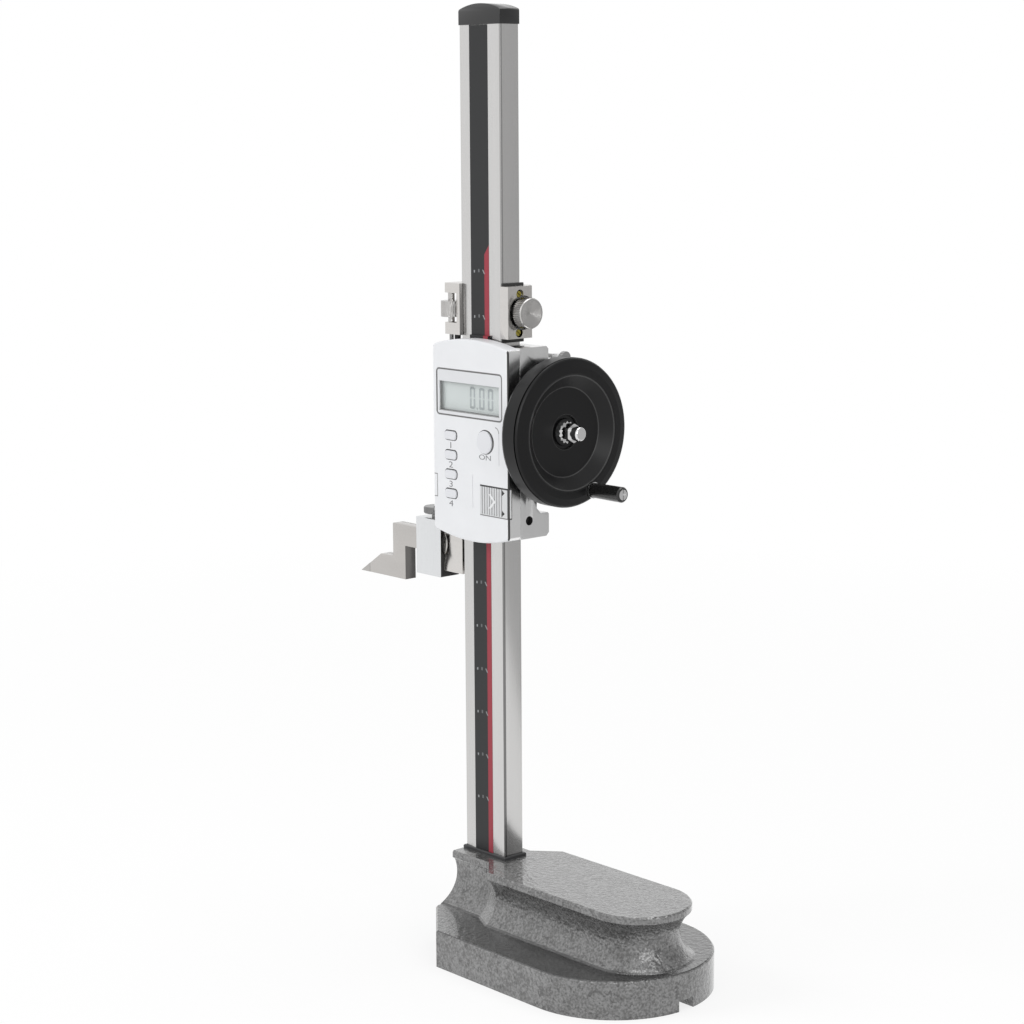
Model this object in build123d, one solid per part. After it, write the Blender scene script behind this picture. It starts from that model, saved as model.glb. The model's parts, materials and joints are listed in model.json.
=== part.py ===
from build123d import *
import math
import os

# Digital height gauge.  Millimetres, +Z up, operator on the -Y side, hand wheel on the +X side.
# The origin is the centre line of the column on the plane of the sole.

# ---------------------------------------------------------------- driving dimensions
FIT = 0.05                 # radial running fit of a pin in its hole
GAP = 0.3                  # daylight between neighbouring pieces that do not touch
SLIDE_GAP = 0.3            # clearance of the slider and the carriage on the column

# column
COL_W = 34.0               # width along X
COL_D = 14.0               # depth along Y
COL_TOP = 527.0
SOCKET_DEPTH = 30.0        # how far the column stands inside the base

# base casting
PLATE_H = 21.5
PLATE_HALF = 56.5          # half width, and radius of the round end
PLATE_X0 = -20.5           # square end
NOSE_HALF = 28.1           # half width of the square end
CUT_X = 13.5               # where the cut corner meets the straight side
END_X = 99.0               # centre of the round end
PAD_TOP = 52.9
PAD_X0 = -18.0
NECK_HALF = 17.0           # half width of the pad beside the column
NECK_X1 = 13.2
PAD_HALF = 29.7
PAD_X1 = 27.3              # end of the slanted shoulder
PAD_END_X = 119.0
LIP = 4.9                  # thickness of the lip over the cove
EASE = 0.9
WAIST_Z = 38.0
GROOVE_W = 11.0            # relief groove along the sole
GROOVE_H = 6.0
GROOVE_Y = 1.0
GROOVE_X0 = 22.0           # the groove starts beyond the column screws

# slider
SL_X0 = -30.4              # left side of slider and display
SL_X1 = 34.0               # right side
SL_Y0 = -8.6               # front of the slider frame
SL_Y1 = 12.7               # back of its two lugs
SL_Z0 = 243.5
SL_Z1 = 350.8
WAIST_Y = 3.5              # back of the frame between the lugs
LUG_H = 13.5

# display housing
FACE_Y = -17.8             # front face
BACK_Y = -8.9
WALL = 1.8
HS_Z0 = 243.8
HS_Z1 = 349.8
ARCH = 4.4
HOUSING_EDGE = 1.1         # rounding of the front edge

# rack and pinion
MODULE = 1.0
TEETH = 14
ADDENDUM = 0.8
DEDENDUM = 1.05
PRESSURE = 20.0
BACKLASH = 0.16
AXLE_Y = 15.0
AXLE_Z = 303.1
RACK_W = 7.9
RACK_Y0 = 3.0
RACK_Z0 = 60.0
RACK_Z1 = 516.0
SHAFT_R = 3.0

# hand wheel
WHEEL_R = 42.05
WHEEL_T = 12.4
WHEEL_FRONT = 50.5         # outer edge of the rim's front
CROWN = 1.0                # rise of that front towards the dish
DISH_R = 32.2
DISC_R = 25.2
DISC_X = 45.3
HUB_R = 9.9
CRANK_Y = 30.4
CRANK_Z = 269.4
CRANK_LEN = 22.8
CRANK_R = 4.4

# fine adjustment carriage
CAR_Z0 = 354.9
CAR_Z1 = 384.0
CAR_X0 = -28.9
CAR_X1 = 24.0
CAR_Y0 = -9.3
WIN_Z0 = 361.6
WIN_Z1 = 378.4
SPINE_X = -18.9
ROD_X = -26.2
ROD_Y = -6.8
ROD_R = 1.25
NUT_R = 6.0
NUT_Z0 = 364.8
NUT_H = 9.0
KNOB_Y = 2.8
KNOB_Z = 369.2
KNOB_R = 8.7
KNOB_X1 = 31.3             # face of the knob
KNOB_T = 6.7

# jaw, clamp box and scriber
JAW_Y0 = -7.0
JAW_T = 8.0
JAW_Z0 = 216.2
JAW_H = 9.4
SHANK_H = 12.6
SCR_Z0 = 205.6
BOX_X0 = -56.5
BOX_X1 = -34.3
BOX_WALL = 3.2
BOX_TOP = 246.0
CLAMP_X = -46.4


# ---------------------------------------------------------------- small helpers
def box(x0, x1, y0, y1, z0, z1):
    """Rectangular block between two corners."""
    return Pos((x0 + x1) / 2, (y0 + y1) / 2, (z0 + z1) / 2) * Box(x1 - x0, y1 - y0, z1 - z0)


def rod_x(r, x0, x1, y, z):
    """Round bar along X."""
    return Pos((x0 + x1) / 2, y, z) * Rot(0, 90, 0) * Cylinder(r, x1 - x0)


def rod_y(r, y0, y1, x, z):
    """Round bar along Y."""
    return Pos(x, (y0 + y1) / 2, z) * Rot(90, 0, 0) * Cylinder(r, y1 - y0)


def rod_z(r, z0, z1, x, y):
    """Round bar along Z."""
    return Pos(x, y, (z0 + z1) / 2) * Cylinder(r, z1 - z0)


def prism_x(points, x0, x1):
    """Polygon of (y, z) points drawn out along X."""
    face = make_face(Polyline(*[(x0, y, z) for y, z in points], close=True))
    return extrude(face, amount=x1 - x0, dir=(1, 0, 0))


def prism_y(points, y0, y1):
    """Polygon of (x, z) points drawn out along Y."""
    face = make_face(Polyline(*[(x, y0, z) for x, z in points], close=True))
    return extrude(face, amount=y1 - y0, dir=(0, 1, 0))


def tile(x0, x1, z0, z1, r, y0, y1):
    """Plate parallel to the front face, with rounded corners."""
    plane = Plane(origin=((x0 + x1) / 2, y1, (z0 + z1) / 2), x_dir=(1, 0, 0), z_dir=(0, -1, 0))
    return extrude(plane * RectangleRounded(x1 - x0, z1 - z0, r), amount=y1 - y0)


def knurled(r, depth, flutes, h):
    """Knurled disc on the XY plane, rising to z = h."""
    points = []
    for i in range(2 * flutes):
        a = math.pi * i / flutes
        radius = r if i % 2 == 0 else r - depth
        points.append((radius * math.cos(a), radius * math.sin(a)))
    return extrude(make_face(Polyline(*points, close=True)), amount=h, dir=(0, 0, 1))


def cap_screw(head_r, head_h, shank_r, length, key):
    """Socket head screw: head from z = 0 to head_h, shank below."""
    screw = Pos(0, 0, head_h / 2) * Cylinder(head_r, head_h)
    screw += Pos(0, 0, -length / 2) * Cylinder(shank_r, length)
    socket = extrude(RegularPolygon(key / math.sqrt(3), 6), amount=head_h * 0.55, dir=(0, 0, 1))
    return screw - Pos(0, 0, head_h * 0.45 + 0.01) * socket


def slotted(r, h, slot, depth):
    """Slotted grub screw from z = -h to 0, slot on top."""
    screw = Pos(0, 0, -h / 2) * Cylinder(r, h)
    return screw - Pos(0, 0, -depth / 2 + 0.01) * Box(2 * r + 1, slot, depth)


def along(direction, x, y, z):
    """Location that turns local +Z towards the given direction."""
    return Plane(origin=(x, y, z), z_dir=direction).location


os.makedirs("parts", exist_ok=True)


def save(name, *solids):
    """One node: a single piece, or a group of identical fasteners."""
    shape = solids[0] if len(solids) == 1 else Compound(children=[s.solid() for s in solids])
    export_step(shape, "parts/" + name + ".step")


# ---------------------------------------------------------------- base casting
HALF_W = COL_W / 2
HALF_D = COL_D / 2
SOCKET_Z = PAD_TOP - SOCKET_DEPTH


def pad_edges(rim, waist, foot, side):
    """Edge of the pad on one side: foot, cove, lip and eased top edge, as (y, z)."""
    lip_z = PAD_TOP - LIP
    low = Polyline((side * foot, PLATE_H - 2), (side * foot, PLATE_H))
    cove = ThreePointArc((side * foot, PLATE_H), (side * waist, WAIST_Z), (side * (rim - EASE), lip_z))
    top = Polyline(
        (side * (rim - EASE), lip_z),
        (side * rim, lip_z + EASE),
        (side * rim, PAD_TOP - EASE),
        (side * (rim - EASE), PAD_TOP),
    )
    return [*low.edges(), *cove.edges(), *top.edges()]


def pad_section(x, rim, waist, foot):
    """Full cross section of the pad in the plane X = x."""
    closing = [
        Line((-foot, PLATE_H - 2), (foot, PLATE_H - 2)),
        Line((-(rim - EASE), PAD_TOP), (rim - EASE, PAD_TOP)),
    ]
    edges = pad_edges(rim, waist, foot, 1) + pad_edges(rim, waist, foot, -1)
    edges += [e for line in closing for e in line.edges()]
    plane = Plane(origin=(x, 0, 0), x_dir=(0, 1, 0), z_dir=(1, 0, 0))
    return plane * make_face(edges)


plate_side = Polyline(
    (END_X, PLATE_HALF),
    (CUT_X, PLATE_HALF),
    (PLATE_X0, NOSE_HALF),
    (PLATE_X0, -NOSE_HALF),
    (CUT_X, -PLATE_HALF),
    (END_X, -PLATE_HALF),
)
plate_end = ThreePointArc((END_X, -PLATE_HALF), (END_X + PLATE_HALF, 0), (END_X, PLATE_HALF))
plate = extrude(make_face([*plate_side.edges(), *plate_end.edges()]), amount=PLATE_H, dir=(0, 0, 1))
plate = fillet(plate.edges().filter_by(Axis.Z).group_by(Axis.X)[0], 3.0)
plate = chamfer(plate.faces().sort_by(Axis.Z)[-1].outer_wire().edges(), 1.0)

NECK = (NECK_HALF, NECK_HALF - 2.1, NECK_HALF + 7.4)
WIDE = (PAD_HALF, PAD_HALF - 6.2, PAD_HALF + 2.0)
neck = extrude(pad_section(PLATE_X0, *NECK), amount=NECK_X1 - PLATE_X0, dir=(1, 0, 0))
shoulder = loft([pad_section(NECK_X1, *NECK), pad_section(PAD_X1, *WIDE)])
wide = extrude(pad_section(PAD_X1, *WIDE), amount=PAD_END_X - PAD_X1, dir=(1, 0, 0))
half_edges = pad_edges(*WIDE, 1)
half_edges += Line((0, PLATE_H - 2), (WIDE[2], PLATE_H - 2)).edges()
half_edges += Polyline((WIDE[0] - EASE, PAD_TOP), (0, PAD_TOP), (0, PLATE_H - 2)).edges()
half_plane = Plane(origin=(PAD_END_X, 0, 0), x_dir=(0, -1, 0), z_dir=(-1, 0, 0))
round_end = revolve(half_plane * make_face(half_edges), Axis((PAD_END_X, 0, 0), (0, 0, 1)), 180)

# the square end of the pad is coved as well
end_low = Polyline((PLATE_X0 - 9, PLATE_H), (PLATE_X0, PLATE_H))
end_cove = ThreePointArc((PLATE_X0, PLATE_H), (PAD_X0 + 1.2, WAIST_Z), (PAD_X0 + EASE, PAD_TOP - LIP))
end_top = Polyline(
    (PAD_X0 + EASE, PAD_TOP - LIP),
    (PAD_X0, PAD_TOP - LIP + EASE),
    (PAD_X0, PAD_TOP + 1),
    (PLATE_X0 - 9, PAD_TOP + 1),
    (PLATE_X0 - 9, PLATE_H),
)
end_face = make_face([*end_low.edges(), *end_cove.edges(), *end_top.edges()])
end_plane = Plane(origin=(0, PAD_HALF + 10, 0), x_dir=(1, 0, 0), z_dir=(0, -1, 0))
end_cutter = extrude(end_plane * end_face, amount=2 * PAD_HALF + 20)

base = plate + (neck + shoulder + wide + round_end - end_cutter)
base -= box(-HALF_W - FIT, HALF_W + FIT, -HALF_D - FIT, HALF_D + FIT, SOCKET_Z, PAD_TOP + 1)
base -= box(GROOVE_X0, END_X + PLATE_HALF + 1, GROOVE_Y - GROOVE_W / 2, GROOVE_Y + GROOVE_W / 2, -1, GROOVE_H)
COL_SCREWS = [-9.0, 9.0]
SEAT_Z = 14.0
for x in COL_SCREWS:
    base -= rod_z(5.75, -1, SEAT_Z, x, 0)
    base -= rod_z(3.3, SEAT_Z - 1, SOCKET_Z + 1, x, 0)
save("base_casting", base)

screws = []
for x in COL_SCREWS:
    screws.append(along((0, 0, -1), x, 0, SEAT_Z) * cap_screw(5.0, 6.0, 3.0, SOCKET_Z - SEAT_Z + 15, 5.0))
save("column_screws", *screws)

COLLAR_TOP = PAD_TOP + 1.9
collar = box(-HALF_W - 1.3, HALF_W + 1.3, -HALF_D - 1.3, HALF_D + 1.3, PAD_TOP, COLLAR_TOP)
collar = chamfer(collar.faces().sort_by(Axis.Z)[-1].edges(), 0.5)
collar -= box(-HALF_W - 0.1, HALF_W + 0.1, -HALF_D - 0.1, HALF_D + 0.1, PAD_TOP - 1, COLLAR_TOP + 1)
save("column_collar", collar)

# ---------------------------------------------------------------- column, scale and rack
STRIP_X0 = -8.6
STRIP_X1 = 6.8
STRIP_T = 0.6
PITCH_R = MODULE * TEETH / 2
PITCH = math.pi * MODULE
PITCH_Y = AXLE_Y - PITCH_R
TIP_Y = PITCH_Y + ADDENDUM
ROOT_Y = PITCH_Y - DEDENDUM
column = box(-HALF_W, HALF_W, -HALF_D, HALF_D, SOCKET_Z, COL_TOP)
column = chamfer(column.edges().filter_by(Axis.Z), 0.5)
column -= box(STRIP_X0 - 0.05, STRIP_X1 + 0.05, -HALF_D - 1, -HALF_D + STRIP_T, PAD_TOP, COL_TOP + 1)
column -= box(-RACK_W / 2 - FIT, RACK_W / 2 + FIT, RACK_Y0, HALF_D + 1, RACK_Z0, RACK_Z1)
for x in COL_SCREWS:
    column -= rod_z(3.0 + FIT, SOCKET_Z - 1, SOCKET_Z + 17, x, 0)
CAP_PLUGS = [-12.0, 12.0]
for x in CAP_PLUGS:
    column -= rod_z(2.5 + FIT, COL_TOP - 9, COL_TOP + 1, x, 0)

first = math.ceil((RACK_Z0 + 1 - AXLE_Z) / PITCH)
last = math.floor((RACK_Z1 - 1 - AXLE_Z) / PITCH)
RACK_SCREWS = [AXLE_Z + PITCH * (i + 0.5) for i in range(first + 8, last, 32)]
screws = []
strip_floor = -HALF_D + STRIP_T
for z in RACK_SCREWS:
    column -= rod_y(1.5 + FIT, strip_floor - 1, RACK_Y0 + 1, 0, z)
    column -= Pos(0, strip_floor + 0.75, z) * Rot(90, 0, 0) * Cone(1.5 + FIT, 3.05, 1.5)
    screw = Pos(0, strip_floor + 0.85, z) * Rot(90, 0, 0) * Cone(1.5, 2.9, 1.4)
    screw += rod_y(1.5, strip_floor + 1.5, RACK_Y0 + 3.0, 0, z)
    screws.append(screw - box(-0.4, 0.4, strip_floor, strip_floor + 0.8, z - 3, z + 3))
save("column_beam", column)
save("rack_screws", *screws)

strip = box(STRIP_X0, STRIP_X1, -HALF_D, strip_floor, PAD_TOP + 0.3, COL_TOP - 0.3)
save("scale_strip", strip)

half_tip = PITCH / 4 - BACKLASH / 4 - ADDENDUM * math.tan(math.radians(PRESSURE))
half_root = PITCH / 4 - BACKLASH / 4 + DEDENDUM * math.tan(math.radians(PRESSURE))
outline = [(RACK_Y0, RACK_Z0 + FIT), (ROOT_Y, RACK_Z0 + FIT)]
for i in range(first, last + 1):
    centre = AXLE_Z + PITCH * i
    outline += [(ROOT_Y, centre - half_root), (TIP_Y, centre - half_tip)]
    outline += [(TIP_Y, centre + half_tip), (ROOT_Y, centre + half_root)]
outline += [(ROOT_Y, RACK_Z1 - FIT), (RACK_Y0, RACK_Z1 - FIT)]
rack = prism_x(outline, -RACK_W / 2, RACK_W / 2)
for z in RACK_SCREWS:
    rack -= rod_y(1.5 + FIT, RACK_Y0 - 1, RACK_Y0 + 3.2, 0, z)
save("rack", rack)

# plain cap with an arched top and two plugs in the column
CAP_W = COL_W + 0.6
CAP_D = COL_D + 0.6
CAP_SIDE = 8.2
CAP_RISE = 3.2
cap_base = Polyline((CAP_W / 2, COL_TOP + CAP_SIDE), (CAP_W / 2, COL_TOP), (-CAP_W / 2, COL_TOP), (-CAP_W / 2, COL_TOP + CAP_SIDE))
cap_arch = ThreePointArc((-CAP_W / 2, COL_TOP + CAP_SIDE), (0, COL_TOP + CAP_SIDE + CAP_RISE), (CAP_W / 2, COL_TOP + CAP_SIDE))
cap_plane = Plane(origin=(0, CAP_D / 2, 0), x_dir=(1, 0, 0), z_dir=(0, -1, 0))
cap = extrude(cap_plane * make_face([*cap_base.edges(), *cap_arch.edges()]), amount=CAP_D)
cap = fillet(cap.edges().filter_by(Axis.Y).group_by(Axis.Z)[-1], 1.5)
for x in CAP_PLUGS:
    cap += rod_z(2.5, COL_TOP - 8, COL_TOP + 1, x, 0)
save("end_cap", cap)

# ---------------------------------------------------------------- slider frame
BEAM_X = HALF_W + SLIDE_GAP
GIB_X0 = -HALF_W - 3.3
SLOT_HALF = RACK_W / 2 + 0.65
SLOT_Y = TIP_Y + 0.5
side_view = [
    (SL_Y0, SL_Z0),
    (SL_Y1 - 2, SL_Z0),
    (SL_Y1, SL_Z0 + 2),
    (SL_Y1, SL_Z0 + LUG_H - 1),
    (SL_Y1 - 1, SL_Z0 + LUG_H),
    (WAIST_Y + 3, SL_Z0 + LUG_H),
    (WAIST_Y, SL_Z0 + LUG_H + 3),
    (WAIST_Y, SL_Z1 - LUG_H - 3),
    (WAIST_Y + 3, SL_Z1 - LUG_H),
    (SL_Y1 - 1, SL_Z1 - LUG_H),
    (SL_Y1, SL_Z1 - LUG_H + 1),
    (SL_Y1, SL_Z1 - 1.5),
    (SL_Y1 - 1.5, SL_Z1),
    (SL_Y0, SL_Z1),
]
frame = prism_x(side_view, SL_X0, SL_X1)
LOCK_Y = 24.5
LOCK_Z = 343.6
LOCK_R = 1.25
EAR_X = 28.8               # inner face of the right ear
EAR_T = 4.2
LEFT_EAR_X = -6.0
LUG_Z0 = SL_Z1 - LUG_H + 0.2
frame += box(LEFT_EAR_X, EAR_X + EAR_T, SL_Y1 - 1, LOCK_Y + 4, LUG_Z0, LUG_Z0 + 3.5)
for x, thickness in ((LEFT_EAR_X, 5.0), (EAR_X, EAR_T)):
    frame += box(x, x + thickness, LOCK_Y - 4, LOCK_Y + 4, LUG_Z0, LOCK_Z + 1.9)
frame -= box(7.5, 9, SL_Y1 + 1.5, LOCK_Y + 5, LUG_Z0 - 1, LOCK_Z + 3)
frame -= rod_x(LOCK_R + FIT, LEFT_EAR_X - 1, EAR_X + EAR_T + 1, LOCK_Y, LOCK_Z)
frame -= box(GIB_X0, BEAM_X, SL_Y0 - 1, HALF_D + SLIDE_GAP, SL_Z0 - 1, SL_Z1 + 1)
frame -= box(-SLOT_HALF, SLOT_HALF, 0, SLOT_Y, SL_Z0 - 1, SL_Z1 + 1)

# tongue seat of the jaw in the left cheek
TONGUE_X = SL_X0 + 5.0
TONGUE_Z = SL_Z0 + 18.5
JAW_Y1 = JAW_Y0 + JAW_T
frame -= box(SL_X0 - 1, TONGUE_X, JAW_Y0 - FIT, JAW_Y1 + FIT, SL_Z0 - 1, TONGUE_Z + FIT)
JAW_SCREWS = [SL_Z0 + 5.0, SL_Z0 + 13.0]
jaw_mid = (JAW_Y0 + JAW_Y1) / 2
for z in JAW_SCREWS:
    frame -= rod_x(1.5 + FIT, TONGUE_X - 1, GIB_X0 + 1, jaw_mid, z)

# three grub screws press the gib against the column
GIB_SCREWS = [272.0, 305.0, 330.0]
screws = []
for z in GIB_SCREWS:
    frame -= rod_x(2.0 + FIT, SL_X0 - 1, GIB_X0 + 1, 0, z)
    screws.append(along((-1, 0, 0), SL_X0 + 1.5, 0, z) * slotted(2.0, GIB_X0 - SL_X0 - 1.5, 0.8, 1.2))
save("gib_screws", *screws)
gib = box(GIB_X0, -HALF_W - 0.3, -6.4, 6.4, SL_Z0 + 2.5, SL_Z1 - 2.5)
save("slider_gib", gib)

# dark socket screw in the lower right lug
LUG_SCREW_Y = -2.2
LUG_SCREW_Z = 253.6
frame -= rod_x(2.6, SL_X1 - 10, SL_X1 + 1, LUG_SCREW_Y, LUG_SCREW_Z)
lug_screw = rod_x(2.55, SL_X1 - 10, SL_X1 - 3.5, LUG_SCREW_Y, LUG_SCREW_Z)
hexagon = extrude(RegularPolygon(1.45, 6), amount=2.5, dir=(0, 0, 1))
lug_screw -= along((-1, 0, 0), SL_X1 - 3.4, LUG_SCREW_Y, LUG_SCREW_Z) * hexagon
save("lug_screw", lug_screw)

# ---------------------------------------------------------------- gear housing behind the column
GH_Z0 = AXLE_Z - 15.5
GH_Z1 = AXLE_Z + 18.0
GH_Y1 = AXLE_Y + 9.5
GH_X1 = SL_X1 - 0.2
gear_case = box(SL_X0, GH_X1, WAIST_Y, GH_Y1, GH_Z0, GH_Z1)
gear_case = chamfer(gear_case.faces().sort_by(Axis.Y)[-1].edges(), 1.5)
gear_case -= box(GIB_X0, BEAM_X, WAIST_Y - 1, HALF_D + SLIDE_GAP, GH_Z0 - 1, GH_Z1 + 1)
gear_case -= box(-SLOT_HALF, SLOT_HALF, 0, SLOT_Y, GH_Z0 - 1, GH_Z1 + 1)
TIP_R = PITCH_R + ADDENDUM
gear_case -= rod_x(TIP_R + 0.8, -SLOT_HALF, SLOT_HALF, AXLE_Y, AXLE_Z)
gear_case -= box(-SLOT_HALF, SLOT_HALF, 5, AXLE_Y, AXLE_Z - TIP_R - 0.8, AXLE_Z + TIP_R + 0.8)
BUSH_R = 5.0
BUSH_L0 = -24.0
BUSH_L1 = -10.0
BUSH_R0 = 12.0
gear_case -= rod_x(BUSH_R + 0.02, BUSH_L0, BUSH_L1, AXLE_Y, AXLE_Z)
gear_case -= rod_x(SHAFT_R + 0.4, BUSH_L1 - 1, BUSH_R0 + 1, AXLE_Y, AXLE_Z)
gear_case -= rod_x(BUSH_R + 0.02, BUSH_R0, GH_X1 + 1, AXLE_Y, AXLE_Z)
bush_left = rod_x(BUSH_R, BUSH_L0, BUSH_L1, AXLE_Y, AXLE_Z)
bush_right = rod_x(BUSH_R, BUSH_R0, GH_X1, AXLE_Y, AXLE_Z) + rod_x(6.6, GH_X1, GH_X1 + 1.2, AXLE_Y, AXLE_Z)
shaft_hole = rod_x(SHAFT_R + FIT, BUSH_L0 - 1, GH_X1 + 2, AXLE_Y, AXLE_Z)
save("pinion_bushes", bush_left - shaft_hole, bush_right - shaft_hole)
screws = []
for x in (-25.4, 25.6):
    for z in (AXLE_Z - 9.8, AXLE_Z + 12.4):
        gear_case -= rod_y(3.7, GH_Y1 - 4, GH_Y1 + 1, x, z)
        gear_case -= rod_y(2.2, WAIST_Y - 1, GH_Y1, x, z)
        frame -= rod_y(2.0 + FIT, WAIST_Y - 6.5, WAIST_Y + 1, x, z)
        screws.append(along((0, 1, 0), x, GH_Y1 - 4, z) * cap_screw(3.5, 3.8, 2.0, GH_Y1 - WAIST_Y + 1.5, 3.0))
save("gear_housing", gear_case)
save("gear_housing_screws", *screws)

# ---------------------------------------------------------------- pinion, shaft and hand wheel
BASE_R = PITCH_R * math.cos(math.radians(PRESSURE))


def involute_angle(r):
    """Polar angle of the involute at radius r, from where it leaves the base circle."""
    a = math.acos(min(1.0, BASE_R / r))
    return math.tan(a) - a


half_tooth = (math.pi / 2 - BACKLASH / 2 / MODULE) / TEETH + involute_angle(PITCH_R)
flank_radii = [BASE_R + (TIP_R - BASE_R) * k / 4 for k in range(5)]
root_r = PITCH_R - DEDENDUM
points = []
for i in range(TEETH):
    axis_angle = 2 * math.pi * (i + 0.5) / TEETH
    flank = [(root_r, half_tooth)] + [(r, half_tooth - involute_angle(r)) for r in flank_radii]
    for r, a in flank:
        points.append((-r * math.cos(axis_angle - a), r * math.sin(axis_angle - a)))
    for r, a in reversed(flank):
        points.append((-r * math.cos(axis_angle + a), r * math.sin(axis_angle + a)))
PINION_W = RACK_W - 0.5
pinion = prism_x([(AXLE_Y + y, AXLE_Z + z) for y, z in points], -PINION_W / 2, PINION_W / 2)
pinion -= rod_x(SHAFT_R + FIT, -PINION_W, PINION_W, AXLE_Y, AXLE_Z)
save("pinion", pinion)

SHAFT_X1 = DISC_X + 8.5
shaft = rod_x(SHAFT_R, BUSH_L0 + 0.5, SHAFT_X1, AXLE_Y, AXLE_Z)
save("pinion_shaft", shaft)

WHEEL_BACK = WHEEL_FRONT - WHEEL_T
HUB_BACK = GH_X1 + 1.2 + GAP
profile = [
    (SHAFT_R + FIT, HUB_BACK),
    (HUB_R, HUB_BACK),
    (HUB_R, DISC_X - 4.2),
    (DISC_R + 3.5, DISC_X - 4.2),
    (DISH_R, WHEEL_BACK + 1.2),
    (DISH_R + 1.5, WHEEL_BACK),
    (WHEEL_R - 2.0, WHEEL_BACK),
    (WHEEL_R - 0.6, WHEEL_BACK + 0.6),
    (WHEEL_R, WHEEL_BACK + 2.0),
    (WHEEL_R, WHEEL_FRONT - 1.6),
    (WHEEL_R - 0.5, WHEEL_FRONT - 0.5),
    (WHEEL_R - 1.2, WHEEL_FRONT),
    (WHEEL_R - 5.0, WHEEL_FRONT + CROWN * 0.8),
    (DISH_R + 1.2, WHEEL_FRONT + CROWN),
    (DISH_R, WHEEL_FRONT + CROWN - 0.4),
    (DISC_R, DISC_X),
    (HUB_R, DISC_X),
    (HUB_R - 0.4, DISC_X - 1.4),
    (HUB_R - 2.0, DISC_X - 1.4),
    (HUB_R - 2.4, DISC_X),
    (SHAFT_R + FIT, DISC_X),
]
half = make_face(Polyline(*[(x, AXLE_Y, AXLE_Z + r) for r, x in profile], close=True))
wheel = revolve(half, Axis((0, AXLE_Y, AXLE_Z), (1, 0, 0)), 360)
CRANK_X0 = WHEEL_FRONT + 2.2
COLLAR_R = 4.6
wheel -= rod_x(1.5 + FIT, WHEEL_FRONT - 8, WHEEL_FRONT + 1, CRANK_Y, CRANK_Z)
wheel -= rod_x(COLLAR_R + GAP, WHEEL_FRONT, WHEEL_FRONT + CROWN + 1, CRANK_Y, CRANK_Z)
save("hand_wheel", wheel)

WASHER_T = 1.6
washer = along((1, 0, 0), DISC_X, AXLE_Y, AXLE_Z) * knurled(6.4, 1.0, 14, WASHER_T)
washer -= rod_x(SHAFT_R + 0.2, DISC_X - 1, DISC_X + 3, AXLE_Y, AXLE_Z)
save("wheel_washer", washer)
NUT_X = DISC_X + WASHER_T
NUT_T = 5.6
DOME_R = 4.1
DOME_X = 57.0
nut = along((1, 0, 0), NUT_X, AXLE_Y, AXLE_Z) * extrude(RegularPolygon(5.6, 6), amount=NUT_T, dir=(0, 0, 1))
nut = nut & (rod_x(5.35, NUT_X, NUT_X + NUT_T, AXLE_Y, AXLE_Z))
dome = rod_x(DOME_R, NUT_X + NUT_T - 0.5, DOME_X + 1.5, AXLE_Y, AXLE_Z)
nut += fillet(dome.edges().filter_by(GeomType.CIRCLE).sort_by(Axis.X)[-1], 1.45)
nut -= rod_x(SHAFT_R + FIT, NUT_X - 1, SHAFT_X1 + 0.3, AXLE_Y, AXLE_Z)
save("wheel_nut", nut)

# crank: the grip turns on a shoulder stud screwed into the rim
CRANK_X1 = CRANK_X0 + CRANK_LEN
STUD_R = 2.0
stud = rod_x(1.5, WHEEL_FRONT - 7.5, WHEEL_FRONT + 0.5, CRANK_Y, CRANK_Z)
stud += rod_x(STUD_R, WHEEL_FRONT, CRANK_X1 - 1.2, CRANK_Y, CRANK_Z)
stud += rod_x(3.0, CRANK_X1 - 1.4, CRANK_X1 + 0.3, CRANK_Y, CRANK_Z)
stud -= box(CRANK_X1 - 0.6, CRANK_X1 + 1, CRANK_Y - 0.45, CRANK_Y + 0.45, CRANK_Z - 3.5, CRANK_Z + 3.5)
stud -= box(CRANK_X1 - 0.6, CRANK_X1 + 1, CRANK_Y - 2.0, CRANK_Y + 2.0, CRANK_Z - 0.45, CRANK_Z + 0.45)
save("crank_stud", stud)
ring = rod_x(COLLAR_R, WHEEL_FRONT, CRANK_X0 - GAP, CRANK_Y, CRANK_Z)
ring -= rod_x(STUD_R + FIT, WHEEL_FRONT - 1, CRANK_X0, CRANK_Y, CRANK_Z)
save("crank_collar", ring)
grip_profile = [
    (STUD_R + FIT, CRANK_X0),
    (CRANK_R - 0.7, CRANK_X0),
    (CRANK_R - 0.2, CRANK_X0 + 0.6),
    (CRANK_R, CRANK_X0 + CRANK_LEN * 0.7),
    (CRANK_R, CRANK_X1 - 0.7),
    (CRANK_R - 0.6, CRANK_X1),
    (3.0 + FIT, CRANK_X1),
    (3.0 + FIT, CRANK_X1 - 1.4 - FIT),
    (STUD_R + FIT, CRANK_X1 - 1.4 - FIT),
]
half = make_face(Polyline(*[(x, CRANK_Y, CRANK_Z + r) for r, x in grip_profile], close=True))
grip = revolve(half, Axis((0, CRANK_Y, CRANK_Z), (1, 0, 0)), 360)
save("crank_grip", grip)

# small knob that draws the two ears together
stem_end = EAR_X + EAR_T + GAP - LEFT_EAR_X - 1.0
lock = knurled(3.4, 0.2, 18, 2.7) + Pos(0, 0, -stem_end / 2) * Cylinder(LOCK_R, stem_end)
save("slider_lock_knob", along((1, 0, 0), EAR_X + EAR_T + GAP, LOCK_Y, LOCK_Z) * lock)

# ---------------------------------------------------------------- display housing
MID_X = (SL_X0 + SL_X1) / 2


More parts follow.
